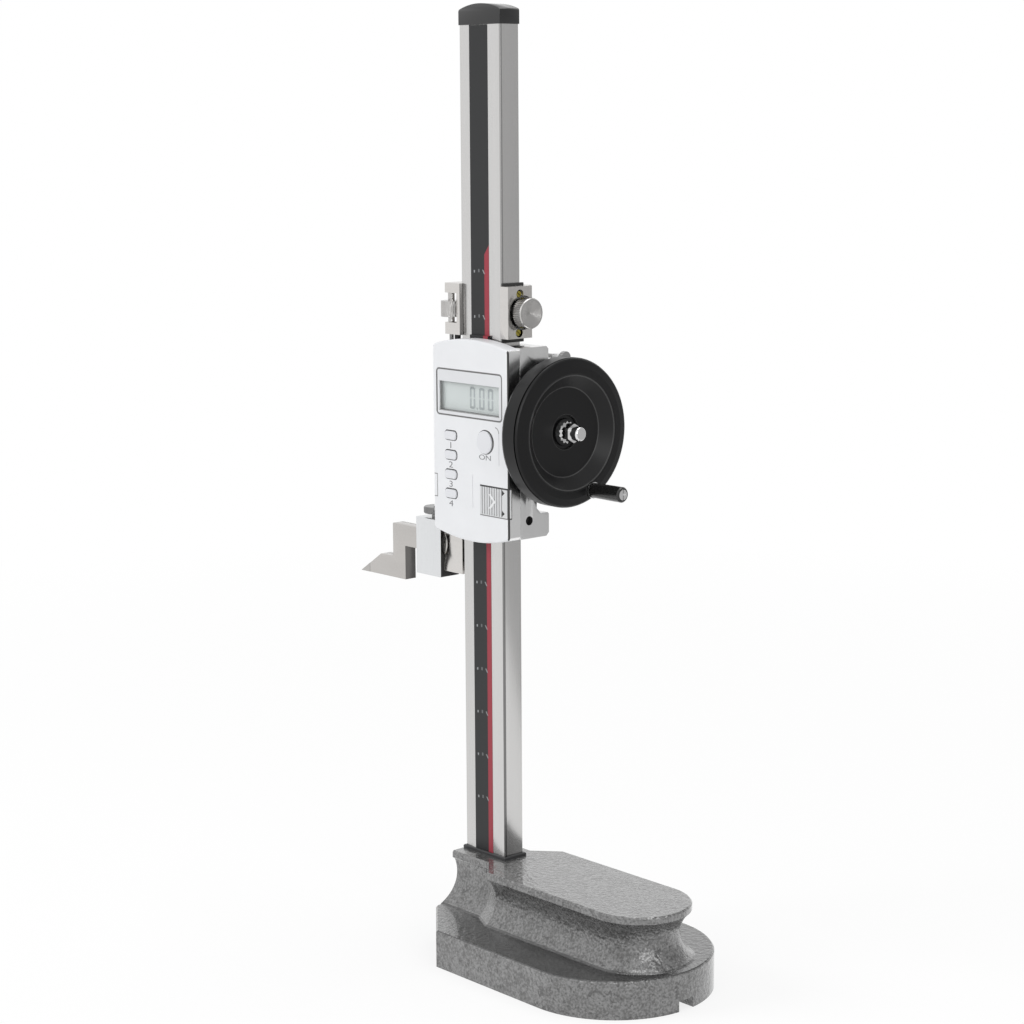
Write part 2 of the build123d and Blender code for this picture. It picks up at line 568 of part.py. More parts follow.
def housing_face(inset):
    """Outline of the display housing, shrunk by inset, in (x, z)."""
    x0 = SL_X0 + inset
    x1 = SL_X1 - inset
    z0 = HS_Z0 + inset
    z1 = HS_Z1 - inset
    edges = [
        *ThreePointArc((x0, z0), (MID_X, z0 - ARCH), (x1, z0)).edges(),
        *Line((x1, z0), (x1, z1)).edges(),
        *ThreePointArc((x1, z1), (MID_X, z1 + ARCH), (x0, z1)).edges(),
        *Line((x0, z1), (x0, z0)).edges(),
    ]
    face = make_face(edges)
    return fillet(face.vertices(), max(0.8, 2.4 - inset))


def housing_slab(inset, y0, y1):
    """Slab of the housing outline between two depths."""
    plane = Plane(origin=(0, y1, 0), x_dir=(1, 0, 0), z_dir=(0, -1, 0))
    return extrude(plane * housing_face(inset), amount=y1 - y0)


shell = housing_slab(0, FACE_Y, BACK_Y)
shell = fillet(shell.faces().sort_by(Axis.Y)[0].outer_wire().edges(), HOUSING_EDGE)
shell -= housing_slab(WALL, FACE_Y + WALL, BACK_Y + 1)

# window
BEZ = (-27.0, 29.0, 310.0, 336.3)
WIN = (-24.6, 26.5, 312.7, 329.2)
BEZ_T = 0.7
shell -= tile(*BEZ, 2.4, FACE_Y - 1, FACE_Y + BEZ_T)
shell -= box(WIN[0], WIN[1], FACE_Y - 1, FACE_Y + WALL + 1, WIN[2], WIN[3])
bezel = tile(BEZ[0] + 0.25, BEZ[1] - 0.25, BEZ[2] + 0.25, BEZ[3] - 0.25, 2.2, FACE_Y + 0.05, FACE_Y + BEZ_T)
bezel -= box(WIN[0], WIN[1], FACE_Y - 1, FACE_Y + 2, WIN[2], WIN[3])
save("display_bezel", bezel)
inner_y = FACE_Y + WALL
lens = box(WIN[0] + 0.1, WIN[1] - 0.1, FACE_Y + 0.25, inner_y + 0.5, WIN[2] + 0.1, WIN[3] - 0.1)
lens += box(WIN[0] - 1.2, WIN[1] + 1.2, inner_y, inner_y + 0.7, WIN[2] - 1.2, WIN[3] + 1.2)
save("lens_window", lens)
LCD_Y = inner_y + 0.7 + 0.2
save("lcd_panel", box(WIN[0] - 0.9, WIN[1] + 0.9, LCD_Y, LCD_Y + 1.6, WIN[2] - 1.0, WIN[3] + 1.0))

# shallow styling lines beside the keys
shell -= box(26.2, 26.5, FACE_Y - 1, FACE_Y + 0.25, 285.4, 303.5)
shell -= box(3.65, 3.95, FACE_Y - 1, FACE_Y + 0.25, 259.0, 278.0)

# keys: four small ones in a column and a round one, each on its own stem
KEY_X = -15.0
KEY_Z = [298.5, 287.3, 276.2, 265.1]
KEY_W = 10.0
KEY_H = 5.0
KEY_OUT = 0.7
PCB_Y0 = -12.9
PCB_T = 1.0
SWITCH_T = 0.7
STEM_Y = PCB_Y0 - SWITCH_T - 0.6
ROUND_X = 14.4
ROUND_Z = 297.4
ROUND_R = 6.5
switches = []
for i, z in enumerate(KEY_Z):
    hole = tile(KEY_X - KEY_W / 2 - 0.2, KEY_X + KEY_W / 2 + 0.2, z - KEY_H / 2 - 0.2, z + KEY_H / 2 + 0.2, 2.2, FACE_Y - 1, inner_y + 1)
    shell -= hole
    key = tile(KEY_X - KEY_W / 2, KEY_X + KEY_W / 2, z - KEY_H / 2, z + KEY_H / 2, 2.0, FACE_Y - KEY_OUT, inner_y + 0.3)
    key = fillet(key.faces().sort_by(Axis.Y)[0].edges(), 0.6)
    key += tile(KEY_X - KEY_W / 2 - 0.8, KEY_X + KEY_W / 2 + 0.8, z - KEY_H / 2 - 0.8, z + KEY_H / 2 + 0.8, 2.4, inner_y + 0.3, inner_y + 1.0)
    key += rod_y(1.4, inner_y + 0.9, STEM_Y, KEY_X, z)
    save("key_" + str(i + 1), key)
    switches.append(rod_y(2.2, PCB_Y0 - SWITCH_T, PCB_Y0, KEY_X, z))
shell -= rod_y(ROUND_R + 0.2, FACE_Y - 1, inner_y + 1, ROUND_X, ROUND_Z)
key = rod_y(ROUND_R, FACE_Y - KEY_OUT, inner_y + 0.3, ROUND_X, ROUND_Z)
key = fillet(key.faces().sort_by(Axis.Y)[0].edges(), 0.6)
key += rod_y(ROUND_R + 0.9, inner_y + 0.3, inner_y + 1.0, ROUND_X, ROUND_Z)
key += rod_y(1.4, inner_y + 0.9, STEM_Y, ROUND_X, ROUND_Z)
save("power_key", key)
switches.append(rod_y(2.2, PCB_Y0 - SWITCH_T, PCB_Y0, ROUND_X, ROUND_Z))
save("key_switches", *switches)

# battery cover: ribbed plate that wraps the right edge and slides off to the right
BAT = (10.1, SL_X1, 255.9, 273.2)
BAT_SIDE = -15.2
shell -= box(BAT[0] - 0.1, BAT[1] + 1, FACE_Y - 1, inner_y + 0.1, BAT[2] - 0.1, BAT[3] + 0.1)
shell -= box(BAT[1] - WALL - 0.1, BAT[1] + 1, FACE_Y - 1, BAT_SIDE + 0.1, BAT[2] - 0.1, BAT[3] + 0.1)
cover = box(BAT[0], BAT[1], FACE_Y, inner_y - 0.2, BAT[2], BAT[3])
cover += box(BAT[1] - WALL + 0.1, BAT[1], FACE_Y, BAT_SIDE, BAT[2], BAT[3])
cover = fillet(cover.edges().filter_by(Axis.Z).sort_by(lambda e: e.center().X - e.center().Y)[-1], HOUSING_EDGE)
RIBS = 9
for i in range(RIBS):
    x = BAT[0] + 1.4 + i * 2.05
    cover -= box(x, x + 0.9, FACE_Y - 1, FACE_Y + 0.35, BAT[2] + 0.9, BAT[3] - 0.9)
save("battery_cover", cover)

# connector cover on the left edge
PORT = (SL_X0, -26.9, 262.1, 275.5)
PORT_SIDE = -14.1
shell -= box(PORT[0] - 1, PORT[1] + 0.1, FACE_Y - 1, inner_y + 0.1, PORT[2] - 0.1, PORT[3] + 0.1)
shell -= box(PORT[0] - 1, PORT[0] + WALL + 0.1, FACE_Y - 1, PORT_SIDE + 0.1, PORT[2] - 0.1, PORT[3] + 0.1)
port = box(PORT[0], PORT[1], FACE_Y, inner_y - 0.2, PORT[2], PORT[3])
port += box(PORT[0], PORT[0] + WALL - 0.1, FACE_Y, PORT_SIDE, PORT[2], PORT[3])
port = fillet(port.edges().filter_by(Axis.Z).sort_by(lambda e: e.center().X + e.center().Y)[0], HOUSING_EDGE)
save("port_cover", port)
save("display_housing", shell)

# back plate with stand-offs, circuit board, cell and read head
PLATE_T = 1.1
plate_y0 = BACK_Y - PLATE_T
PCB_Y1 = PCB_Y0 + PCB_T
back_plate = housing_slab(WALL + 0.2, plate_y0, BACK_Y)
for x, z in ((-24.0, 264.0), (29.4, 287.0), (-24.0, 322.0), (29.0, 322.0)):
    back_plate += rod_y(1.6, PCB_Y1, plate_y0 + 0.5, x, z)
screws = []
for x, z in ((-23.0, 252.5), (21.0, 252.5), (-23.0, 333.0), (28.0, 333.0)):
    back_plate -= rod_y(1.4, plate_y0 - 1, BACK_Y + 1, x, z)
    frame -= rod_y(1.25 + FIT, SL_Y0 - 1, SL_Y0 + 6, x, z)
    screws.append(along((0, -1, 0), x, plate_y0, z) * cap_screw(2.2, 1.5, 1.25, 6.8, 1.5))
save("housing_back_plate", back_plate)
save("back_plate_screws", *screws)
CELL_X = 20.0
CELL_Z = 264.9
CELL_R = 5.8
board = box(-27.6, 31.4, PCB_Y0, PCB_Y1, 256.0, 340.0)
board -= box(CELL_X - CELL_R - 1.6, CELL_X + CELL_R + 1.6, PCB_Y0 - 1, PCB_Y1 + 1, 250.0, CELL_Z + CELL_R + 1.8)
save("circuit_board", board)
cell = rod_y(CELL_R, inner_y + 0.3, plate_y0 - 0.5, CELL_X, CELL_Z)
cell = chamfer(cell.edges().filter_by(GeomType.CIRCLE), 0.4)
save("coin_cell", cell)
contact_back = rod_y(4.0, plate_y0 - 0.4, plate_y0, CELL_X, CELL_Z)
contact_side = box(CELL_X - 4, CELL_X + 4, -15.2, -11.2, CELL_Z + CELL_R + 0.1, CELL_Z + CELL_R + 0.5)
save("battery_contacts", contact_back, contact_side)
save("read_head", box(-14.0, 14.0, BACK_Y, -HALF_D - 0.35, 262.0, 332.0))

# felt wiper that sweeps the scale above the slider
wiper = box(STRIP_X0, STRIP_X1, SL_Y0 + 0.3, -HALF_D - 0.2, SL_Z1 - 4.5, SL_Z1 + 4.9)
save("scale_wiper", wiper)

# ---------------------------------------------------------------- jaw, clamp box and scriber
JAW_RIGHT = -HALF_W - 1.5
JAW_LEFT = SL_X0 + 0.1
JAW_END = BOX_X0 - 2.0
JAW_Z1 = JAW_Z0 + JAW_H
jaw_points = [
    (JAW_END, JAW_Z0),
    (JAW_RIGHT, JAW_Z0),
    (JAW_RIGHT, SL_Z0),
    (TONGUE_X - FIT, SL_Z0),
    (TONGUE_X - FIT, TONGUE_Z),
    (JAW_LEFT, TONGUE_Z),
    (JAW_LEFT, JAW_Z1 + 4.6),
    (JAW_LEFT - 0.6, JAW_Z1 + 2.3),
    (JAW_LEFT - 2.3, JAW_Z1 + 0.6),
    (JAW_LEFT - 3.8, JAW_Z1),
    (JAW_END, JAW_Z1),
]
jaw = prism_y(jaw_points, JAW_Y0, JAW_Y1)
screws = []
for z in JAW_SCREWS:
    jaw -= rod_x(1.7, SL_X0 - 1, TONGUE_X + 1, jaw_mid, z)
    jaw -= rod_x(2.9, SL_X0 - 1, SL_X0 + 2.6, jaw_mid, z)
    screws.append(along((-1, 0, 0), SL_X0 + 2.6, jaw_mid, z) * cap_screw(2.7, 2.3, 1.5, 6.5, 2.5))
save("jaw_arm", jaw)
save("jaw_screws", *screws)

BOX_Y0 = JAW_Y0 - BOX_WALL - 0.2
BOX_Y1 = JAW_Y1 + BOX_WALL + 0.2
BOX_Z0 = JAW_Z0 - 0.3 - BOX_WALL - 0.2
SHANK_Z0 = JAW_Z1 + 0.3
SHANK_Z1 = SHANK_Z0 + SHANK_H
clamp_box = box(BOX_X0, BOX_X1, BOX_Y0, BOX_Y1, BOX_Z0, BOX_TOP)
clamp_box = chamfer(clamp_box.edges().filter_by(Axis.Z), 0.6)
clamp_box -= box(BOX_X0 - 1, BOX_X1 + 1, JAW_Y0 - 0.2, JAW_Y1 + 0.2, JAW_Z0 - 0.3, SHANK_Z1 + 3.0)
clamp_box -= rod_z(2.5 + FIT, SHANK_Z1 + 2, BOX_TOP + 1, CLAMP_X, jaw_mid)
save("scriber_clamp_box", clamp_box)

CLAMP_R = 7.2
CLAMP_H = 4.0
CLAMP_GAP = 2.5            # daylight between the head and the box
clamp_screw = knurled(CLAMP_R, 0.25, 40, CLAMP_H)
clamp_screw = clamp_screw & (Pos(0, 0, CLAMP_H / 2) * chamfer(Cylinder(CLAMP_R, CLAMP_H).edges(), 0.5))
shank_len = BOX_TOP + CLAMP_GAP - SHANK_Z1 - 0.3
clamp_screw += Pos(0, 0, -shank_len / 2) * Cylinder(2.5, shank_len)
clamp_screw -= Pos(0, 0, CLAMP_H - 0.1) * Rot(0, 0, -42) * Box(2 * CLAMP_R + 1, 2.3, 2.2)
save("clamp_screw", Pos(CLAMP_X, jaw_mid, BOX_TOP + CLAMP_GAP) * clamp_screw)

SHANK_X1 = BOX_X1 - 0.1
SHANK_BULGE = 2.6          # the shank ends in a shallow arc
SCR_FACE = -70.6
STEM_X = -82.1
TIP_X = -112.9
FOOT_X = -94.0
FOOT_H = 12.6
SPLIT_X = -104.6
split_h = FOOT_H * (SPLIT_X - TIP_X) / (FOOT_X - TIP_X)
bar_points = [
    (SPLIT_X, SCR_Z0),
    (SCR_FACE, SCR_Z0),
    (SCR_FACE, SHANK_Z0),
    (SHANK_X1, SHANK_Z0),
    (SHANK_X1, SHANK_Z1),
    (STEM_X, SHANK_Z1),
    (STEM_X, SCR_Z0 + FOOT_H + 2.2),
    (STEM_X - 0.6, SCR_Z0 + FOOT_H + 0.9),
    (STEM_X - 1.9, SCR_Z0 + FOOT_H + 0.3),
    (FOOT_X, SCR_Z0 + FOOT_H),
    (SPLIT_X, SCR_Z0 + split_h),
]
bar = prism_y(bar_points, JAW_Y0, JAW_Y1)
shank_mid = (SHANK_Z0 + SHANK_Z1) / 2
shank_arc = ThreePointArc((SHANK_X1, SHANK_Z0), (SHANK_X1 + SHANK_BULGE, shank_mid), (SHANK_X1, SHANK_Z1))
shank_line = Line((SHANK_X1, SHANK_Z1), (SHANK_X1, SHANK_Z0))
shank_plane = Plane(origin=(0, JAW_Y1, 0), x_dir=(1, 0, 0), z_dir=(0, -1, 0))
bar += extrude(shank_plane * make_face([*shank_arc.edges(), *shank_line.edges()]), amount=JAW_T)
tip = prism_y([(TIP_X, SCR_Z0), (SPLIT_X, SCR_Z0), (SPLIT_X, SCR_Z0 + split_h)], JAW_Y0, JAW_Y1)
bevel_plane = Plane(origin=(0, 0, SCR_Z0 - 1), z_dir=(0, 0, 1))
bevel_points = [(TIP_X - 1, JAW_Y0 + 0.6), (TIP_X - 1, JAW_Y1 + 1), (FOOT_X, JAW_Y1 + 1), (FOOT_X, JAW_Y1)]
bevel = extrude(bevel_plane * make_face(Polyline(*bevel_points, close=True)), amount=30)
save("scriber", bar - bevel)
save("carbide_tip", tip - bevel)

# ---------------------------------------------------------------- fine adjustment carriage
WEB_Y0 = TIP_Y + 0.4
WEB_Y1 = WEB_Y0 + 3.2
GIB_T = 1.45
block_x = HALF_W + 0.25 + GIB_T + 0.2
GIB_Y0 = -7.3
carriage = box(CAR_X0, -BEAM_X, CAR_Y0, WEB_Y1, CAR_Z0, CAR_Z1)
carriage += box(-BEAM_X - 1, -HALF_W + 1.3, CAR_Y0, -HALF_D - 0.2, CAR_Z0, CAR_Z1)
carriage += box(-BEAM_X - 1, block_x + 1.2, WEB_Y0, WEB_Y1, CAR_Z0, CAR_Z1)
carriage += box(block_x, CAR_X1, -8.3, 9.6, CAR_Z0, CAR_Z1)
carriage += box(BEAM_X, block_x + 1, -8.3, GIB_Y0 - 0.2, CAR_Z0, CAR_Z1)
carriage -= box(CAR_X0 - 1, SPINE_X, CAR_Y0 - 1, ROD_Y + NUT_R + 0.4, WIN_Z0, WIN_Z1)
carriage -= rod_z(ROD_R + 0.15, CAR_Z0 - 1, WIN_Z0 + 1, ROD_X, ROD_Y)
carriage -= rod_z(ROD_R + 0.15, WIN_Z1 - 1, CAR_Z1 - 0.5, ROD_X, ROD_Y)
STOP_X = -21.0
STOP_Y = -6.7
STOP_R = 1.8
carriage -= rod_z(STOP_R + FIT, CAR_Z0 - 1, CAR_Z0 + 5, STOP_X, STOP_Y)
save("carriage_stop_pin", rod_z(STOP_R, CAR_Z0 - 2.7, CAR_Z0 + 4.9, STOP_X, STOP_Y))
carriage -= rod_x(KNOB_R + 0.9, CAR_X1 - 1.4, CAR_X1 + 1, KNOB_Y, KNOB_Z)
carriage -= rod_x(2.5 + FIT, block_x - 1, CAR_X1, KNOB_Y, KNOB_Z)
screws = []
for y, z in ((0.6, 379.6), (0.0, 358.2)):
    carriage -= rod_x(1.75 + FIT, block_x - 1, CAR_X1, y, z)
    carriage -= rod_x(2.6, CAR_X1 - 1.3, CAR_X1 + 1, y, z)
    screw = Rot(0, 0, 50) * slotted(1.75, CAR_X1 - 0.9 - block_x, 0.6, 0.8)
    screws.append(along((1, 0, 0), CAR_X1 - 0.9, y, z) * screw)
save("carriage_gib_screws", *screws)
save("carriage_block", carriage)
gib = box(HALF_W + 0.25, HALF_W + 0.25 + GIB_T, GIB_Y0, WEB_Y0 - 1.0, CAR_Z0 - 2.4, CAR_Z1 + 1.6)
save("carriage_gib", gib)

knob = knurled(KNOB_R, 0.22, 44, KNOB_T)
knob = knob & (Pos(0, 0, KNOB_T / 2) * chamfer(Cylinder(KNOB_R, KNOB_T).edges().filter_by(GeomType.CIRCLE), 0.6))
knob -= Pos(0, 0, KNOB_T - 0.75) * Cone(0.4, KNOB_R - 1.6, 1.5)
neck_len = KNOB_X1 - KNOB_T - CAR_X1 + 1.2
knob += Pos(0, 0, 0.5 - neck_len / 2) * Cylinder(5.5, neck_len + 1.0)
knob += Pos(0, 0, -neck_len - 0.5) * Cylinder(2.5, 3.4)
save("carriage_knob", along((1, 0, 0), KNOB_X1 - KNOB_T, KNOB_Y, KNOB_Z) * knob)

save("fine_adjust_rod", rod_z(ROD_R, SL_Z1 - 11, CAR_Z1 - 2.2, ROD_X, ROD_Y))
frame -= rod_z(ROD_R + FIT, SL_Z1 - 11, SL_Z1 + 1, ROD_X, ROD_Y)
nut = knurled(NUT_R, 0.22, 32, NUT_H)
low = NUT_Z0 - WIN_Z0 - 0.15
high = WIN_Z1 - NUT_Z0 - NUT_H - 0.15
nut += Pos(0, 0, -low / 2) * Cylinder(1.9, low)
nut += Pos(0, 0, NUT_H + high / 2) * Cylinder(1.9, high)
nut -= Cylinder(ROD_R + FIT, 60)
save("fine_adjust_nut", Pos(ROD_X, ROD_Y, NUT_Z0) * nut)
save("slider_frame", frame)
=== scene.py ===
import json
import math

import bmesh
import bpy
from mathutils import Matrix, Vector

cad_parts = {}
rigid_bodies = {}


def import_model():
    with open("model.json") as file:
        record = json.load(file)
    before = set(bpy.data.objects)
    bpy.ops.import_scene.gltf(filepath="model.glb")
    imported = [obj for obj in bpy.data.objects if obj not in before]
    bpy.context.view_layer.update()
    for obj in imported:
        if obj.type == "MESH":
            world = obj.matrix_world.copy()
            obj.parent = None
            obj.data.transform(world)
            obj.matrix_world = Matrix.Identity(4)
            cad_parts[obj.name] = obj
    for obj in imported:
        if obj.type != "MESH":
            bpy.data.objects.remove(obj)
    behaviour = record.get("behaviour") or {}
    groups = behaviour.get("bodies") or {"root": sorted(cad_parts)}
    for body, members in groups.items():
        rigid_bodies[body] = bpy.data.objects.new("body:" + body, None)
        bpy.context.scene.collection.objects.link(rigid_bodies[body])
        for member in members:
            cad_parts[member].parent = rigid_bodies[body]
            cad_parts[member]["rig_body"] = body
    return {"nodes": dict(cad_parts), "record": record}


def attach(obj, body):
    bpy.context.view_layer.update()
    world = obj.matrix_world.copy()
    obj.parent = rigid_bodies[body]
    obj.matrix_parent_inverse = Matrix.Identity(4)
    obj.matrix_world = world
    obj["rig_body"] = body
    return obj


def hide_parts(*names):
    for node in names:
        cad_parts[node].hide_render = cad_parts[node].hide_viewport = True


# %% [markdown]
# # A digital height gauge
# A height gauge stands on a flat plate and measures or scratches a line at a set height. It is a
# heavy cast base, a ground steel column, and a slider that a hand wheel drives up and down through
# a rack. The solid parts come from a CAD model in metres, with the sole at Z = 0 and the column's
# centre line on the Z axis. This lesson gives each of them a finish, softens the edges that catch
# light, and adds the small printed and moulded details.

# %% Load the frame
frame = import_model()
nodes = frame["nodes"]
MM = 0.001
scene = bpy.context.scene
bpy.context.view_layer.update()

# %% [markdown]
# ## The camera
# A long lens from the front right keeps the tall column almost parallel. The place could be typed
# in as three numbers. It is held as a point to aim at, an azimuth, an elevation and a distance
# instead, because those are easy to read and to change one at a time. The tiny roll keeps the
# column a hair off plumb, as a hand-placed camera does.

# %% Place the camera
AZIMUTH = math.radians(48.33)
ELEVATION = math.radians(9.62)
ROLL = math.radians(-0.34)
AIM = Vector((16.97, 0.0, 256.24)) * MM
DISTANCE = 1352.5 * MM
FOCAL_PIXELS = 2391.4
FRAME_PIXELS = 1024
SENSOR = 36.0
SIGHT = 50.0

forward = Vector((
    -math.sin(AZIMUTH) * math.cos(ELEVATION),
    math.cos(AZIMUTH) * math.cos(ELEVATION),
    -math.sin(ELEVATION),
))
level = Vector((math.cos(AZIMUTH), math.sin(AZIMUTH), 0.0))
upward = level.cross(forward)
right = level * math.cos(ROLL) + upward * math.sin(ROLL)
top = upward * math.cos(ROLL) - level * math.sin(ROLL)
camera_data = bpy.data.cameras.new("camera")
camera_data.sensor_width = SENSOR
camera_data.lens = FOCAL_PIXELS * SENSOR / FRAME_PIXELS
camera_data.clip_end = SIGHT
camera = bpy.data.objects.new("camera", camera_data)
scene.collection.objects.link(camera)
turn = Matrix((right, top, -forward)).transposed()
camera.matrix_world = Matrix.Translation(AIM - forward * DISTANCE) @ turn.to_4x4()
scene.camera = camera
print("camera at", [round(v, 3) for v in camera.location], "lens", round(camera_data.lens, 2))

# %% [markdown]
# ## Values that can be added and multiplied
# A finish is a small sum: a colour that shifts with some noise, a gloss that falls where dust sits.
# In the node editor each plus sign is a node. Here one small class wraps a node's output, so that
# the sum can be written as a sum. A comparison gives 1 where it is true and 0 elsewhere, which
# makes a mask.

# %% A value that does arithmetic
class Value:
    """The output of a node, usable in Python sums."""

    def __init__(self, finish, socket):
        self.finish = finish
        self.socket = socket

    def maths(self, operation, *terms):
        return self.finish.node("Math", {"operation": operation}, dict(enumerate(terms)))

    def __add__(self, other):
        return self.maths("ADD", self, other)

    def __sub__(self, other):
        return self.maths("SUBTRACT", self, other)

    def __rsub__(self, other):
        return self.maths("SUBTRACT", other, self)

    def __mul__(self, other):
        return self.maths("MULTIPLY", self, other)

    def __truediv__(self, other):
        return self.maths("DIVIDE", self, other)

    def __lt__(self, other):
        return self.maths("LESS_THAN", self, other)

    def __gt__(self, other):
        return self.maths("GREATER_THAN", self, other)

    def __abs__(self):
        return self.maths("ABSOLUTE", self)

    __radd__ = __add__
    __rmul__ = __mul__

    def clamp(self):
        return self.finish.node("Clamp", {}, {0: self})

    def either(self, other):
        return self.maths("MAXIMUM", self, other)

    def root(self):
        return self.maths("SQRT", self)

    def wrap(self, pitch):
        """The remainder after whole steps of `pitch`."""
        return self.maths("FLOORED_MODULO", self, pitch)

    def ramp(self, low, high, start=0.0, end=1.0):
        """`start` below `low`, `end` above `high`, a straight climb between."""
        sockets = {"Value": self, "From Min": low, "From Max": high, "To Min": start, "To Max": end}
        return self.finish.node("MapRange", {}, sockets)


print("values can be added, multiplied and compared")

# %% [markdown]
# ## Building a material
# A material is a shader and the nodes that feed it. It could be drawn in the node editor, but two
# dozen finishes that share their noise and their masks are shorter as calls. This class builds the
# material around its Principled shader, and its method `node` makes every other kind of node.
# Positions are Object coordinates, so a finish sticks to its piece when the piece moves, and the
# masks `inside` and `beyond` find a place on a piece from its millimetres, as a drawing would.

# %% A material in the making
FACING = 0.8


class Finish:
    """A material in the making, with its Principled shader."""

    def __init__(self, name, **sockets):
        self.material = bpy.data.materials.new(name)
        self.material.use_nodes = True
        self.tree = self.material.node_tree
        self.shader = self.tree.nodes["Principled BSDF"]
        self.where = self.node("TexCoord", {}, {}, "Object")
        self.metallic = sockets.get("Metallic", 0.0)
        self.set(**sockets)

    def plug(self, value, socket):
        if isinstance(value, Value):
            self.tree.links.new(value.socket, socket)
        else:
            socket.default_value = value

    def node(self, kind, settings, inputs, output=0):
        """Add a node, set it up, fill its inputs, and give back one output."""
        made = self.tree.nodes.new("ShaderNode" + kind)
        for name, setting in settings.items():
            setattr(made, name, setting)
        for key, value in inputs.items():
            self.plug(value, made.inputs[key])
        return Value(self, made.outputs[output])

    def set(self, **sockets):
        for name, value in sockets.items():
            self.plug(value, self.shader.inputs[name.replace("_", " ")])

    def axis(self, index):
        """One object coordinate, in millimetres."""
        return self.node("SeparateXYZ", {}, {0: self.where}, index) * (1.0 / MM)

    def facing(self, index):
        """1 where the surface faces the positive end of an axis, 0 elsewhere."""
        normal = self.node("TexCoord", {}, {}, "Normal")
        return self.node("SeparateXYZ", {}, {0: normal}, index) > FACING

    def noise(self, size, detail=3.0, scale=(1.0, 1.0, 1.0), roughness=0.5):
        """Noise whose blotches are about `size` millimetres across, from 0 to 1."""
        place = self.node("Mapping", {}, {"Vector": self.where, "Scale": scale})
        inputs = {"Vector": place, "Scale": 1.0 / (size * MM), "Detail": detail, "Roughness": roughness}
        return self.node("TexNoise", {}, inputs, "Fac")

    def blend(self, factor, first, second):
        """A colour between two colours."""
        inputs = {"Factor": factor, 6: first, 7: second}
        return self.node("Mix", {"data_type": "RGBA"}, inputs, 2)

    def paint(self, mask, colour, rough=None, metallic=None):
        """Another colour, and maybe another gloss, where the mask is 1."""
        self.colour = self.blend(mask, self.colour, colour)
        self.set(Base_Color=self.colour)
        if rough is not None:
            self.rough = self.rough * (1 - mask) + mask * rough
            self.metallic = self.metallic * (1 - mask) + mask * metallic
            self.set(Roughness=self.rough, Metallic=self.metallic)

    def bump(self, height, strength, depth):
        """Waves of `depth` millimetres in the surface."""
        inputs = {"Height": height, "Strength": strength, "Distance": depth * MM}
        self.set(Normal=self.node("Bump", {}, inputs))

    def inside(self, x=None, y=None, z=None):
        """1 within the given limits in millimetres, 0 elsewhere."""
        mask = 1.0
        for index, limits in enumerate((x, y, z)):
            if limits:
                place = self.axis(index)
                mask = mask * (place > limits[0]) * (place < limits[1])
        return mask

    def beyond(self, x0, x1, z0, z1, r):
        """Millimetres from an upright rounded rectangle, negative inside, where it ends at -r."""
        across = (abs(self.axis(0) - (x0 + x1) / 2) - ((x1 - x0) / 2 - r)).either(0.0)
        height = (abs(self.axis(2) - (z0 + z1) / 2) - ((z1 - z0) / 2 - r)).either(0.0)
        return (across * across + height * height).root() - r


def grey(level, warm=0.0):
    """A neutral colour, a little warmer where `warm` is positive."""
    return (level * (1 + warm), level, level * (1 - warm), 1.0)


print("materials can be built, greys such as", grey(0.5))

# %% [markdown]
# ## The room
# The floor is a wide pale disc and the room around it is white. Bright metal shows whatever
# surrounds it, so the white is kept for camera and mirror rays, and the light that falls on the
# object comes from soft area lamps. Near the gauge only part of the floor's white glows by itself,
# so its shadow stays. Further out all of it glows, and the floor runs into the sky without a line.

# %% Build the floor and the sky
WHITE = (1.0, 1.0, 1.0, 1.0)
FLOOR_RADIUS = 9.0
GLOW_NEAR = 0.8
GLOW_START = 0.35
GLOW_FULL = 1.3
ROOM_LIGHT = 0.55
FLOOR_SIDES = 96

floor_mesh = bpy.data.meshes.new("floor")
shape = bmesh.new()
bmesh.ops.create_circle(shape, cap_ends=True, segments=FLOOR_SIDES, radius=FLOOR_RADIUS)
shape.to_mesh(floor_mesh)
shape.free()
floor = bpy.data.objects.new("floor", floor_mesh)
scene.collection.objects.link(floor)
floor_finish = Finish("pale_floor", Base_Color=grey(0.9), Roughness=0.9, Specular_IOR_Level=0.0)
seen = 0.0
for ray in ("Is Camera Ray", "Is Glossy Ray", "Is Transmission Ray"):
    seen = floor_finish.node("LightPath", {}, {}, ray) + seen
out = floor_finish.node("VectorMath", {"operation": "LENGTH"}, {0: floor_finish.where}, "Value")
share = out.ramp(GLOW_START, GLOW_FULL, GLOW_NEAR, 1.0)
glow = floor_finish.node("Emission", {}, {"Color": WHITE, "Strength": 1.0})
matt = Value(floor_finish, floor_finish.shader.outputs[0])
surface = floor_finish.node("MixShader", {}, {0: seen.clamp() * share, 1: matt, 2: glow})
floor_finish.plug(surface, floor_finish.tree.nodes["Material Output"].inputs["Surface"])
floor.data.materials.append(floor_finish.material)

world = bpy.data.worlds.new("room")
scene.world = world
world.use_nodes = True
sky = world.node_tree
background = sky.nodes["Background"]
background.inputs["Color"].default_value = WHITE
path = sky.nodes.new("ShaderNodeLightPath")
either = sky.nodes.new("ShaderNodeMath")
either.operation = "MAXIMUM"
sky.links.new(path.outputs["Is Camera Ray"], either.inputs[0])
sky.links.new(path.outputs["Is Glossy Ray"], either.inputs[1])
level_node = sky.nodes.new("ShaderNodeMapRange")
level_node.inputs["To Min"].default_value = ROOM_LIGHT
level_node.inputs["To Max"].default_value = 1.0
sky.links.new(either.outputs[0], level_node.inputs["Value"])
sky.links.new(level_node.outputs[0], background.inputs["Strength"])
scene.view_settings.view_transform = "Standard"
print("floor radius", FLOOR_RADIUS, "m")

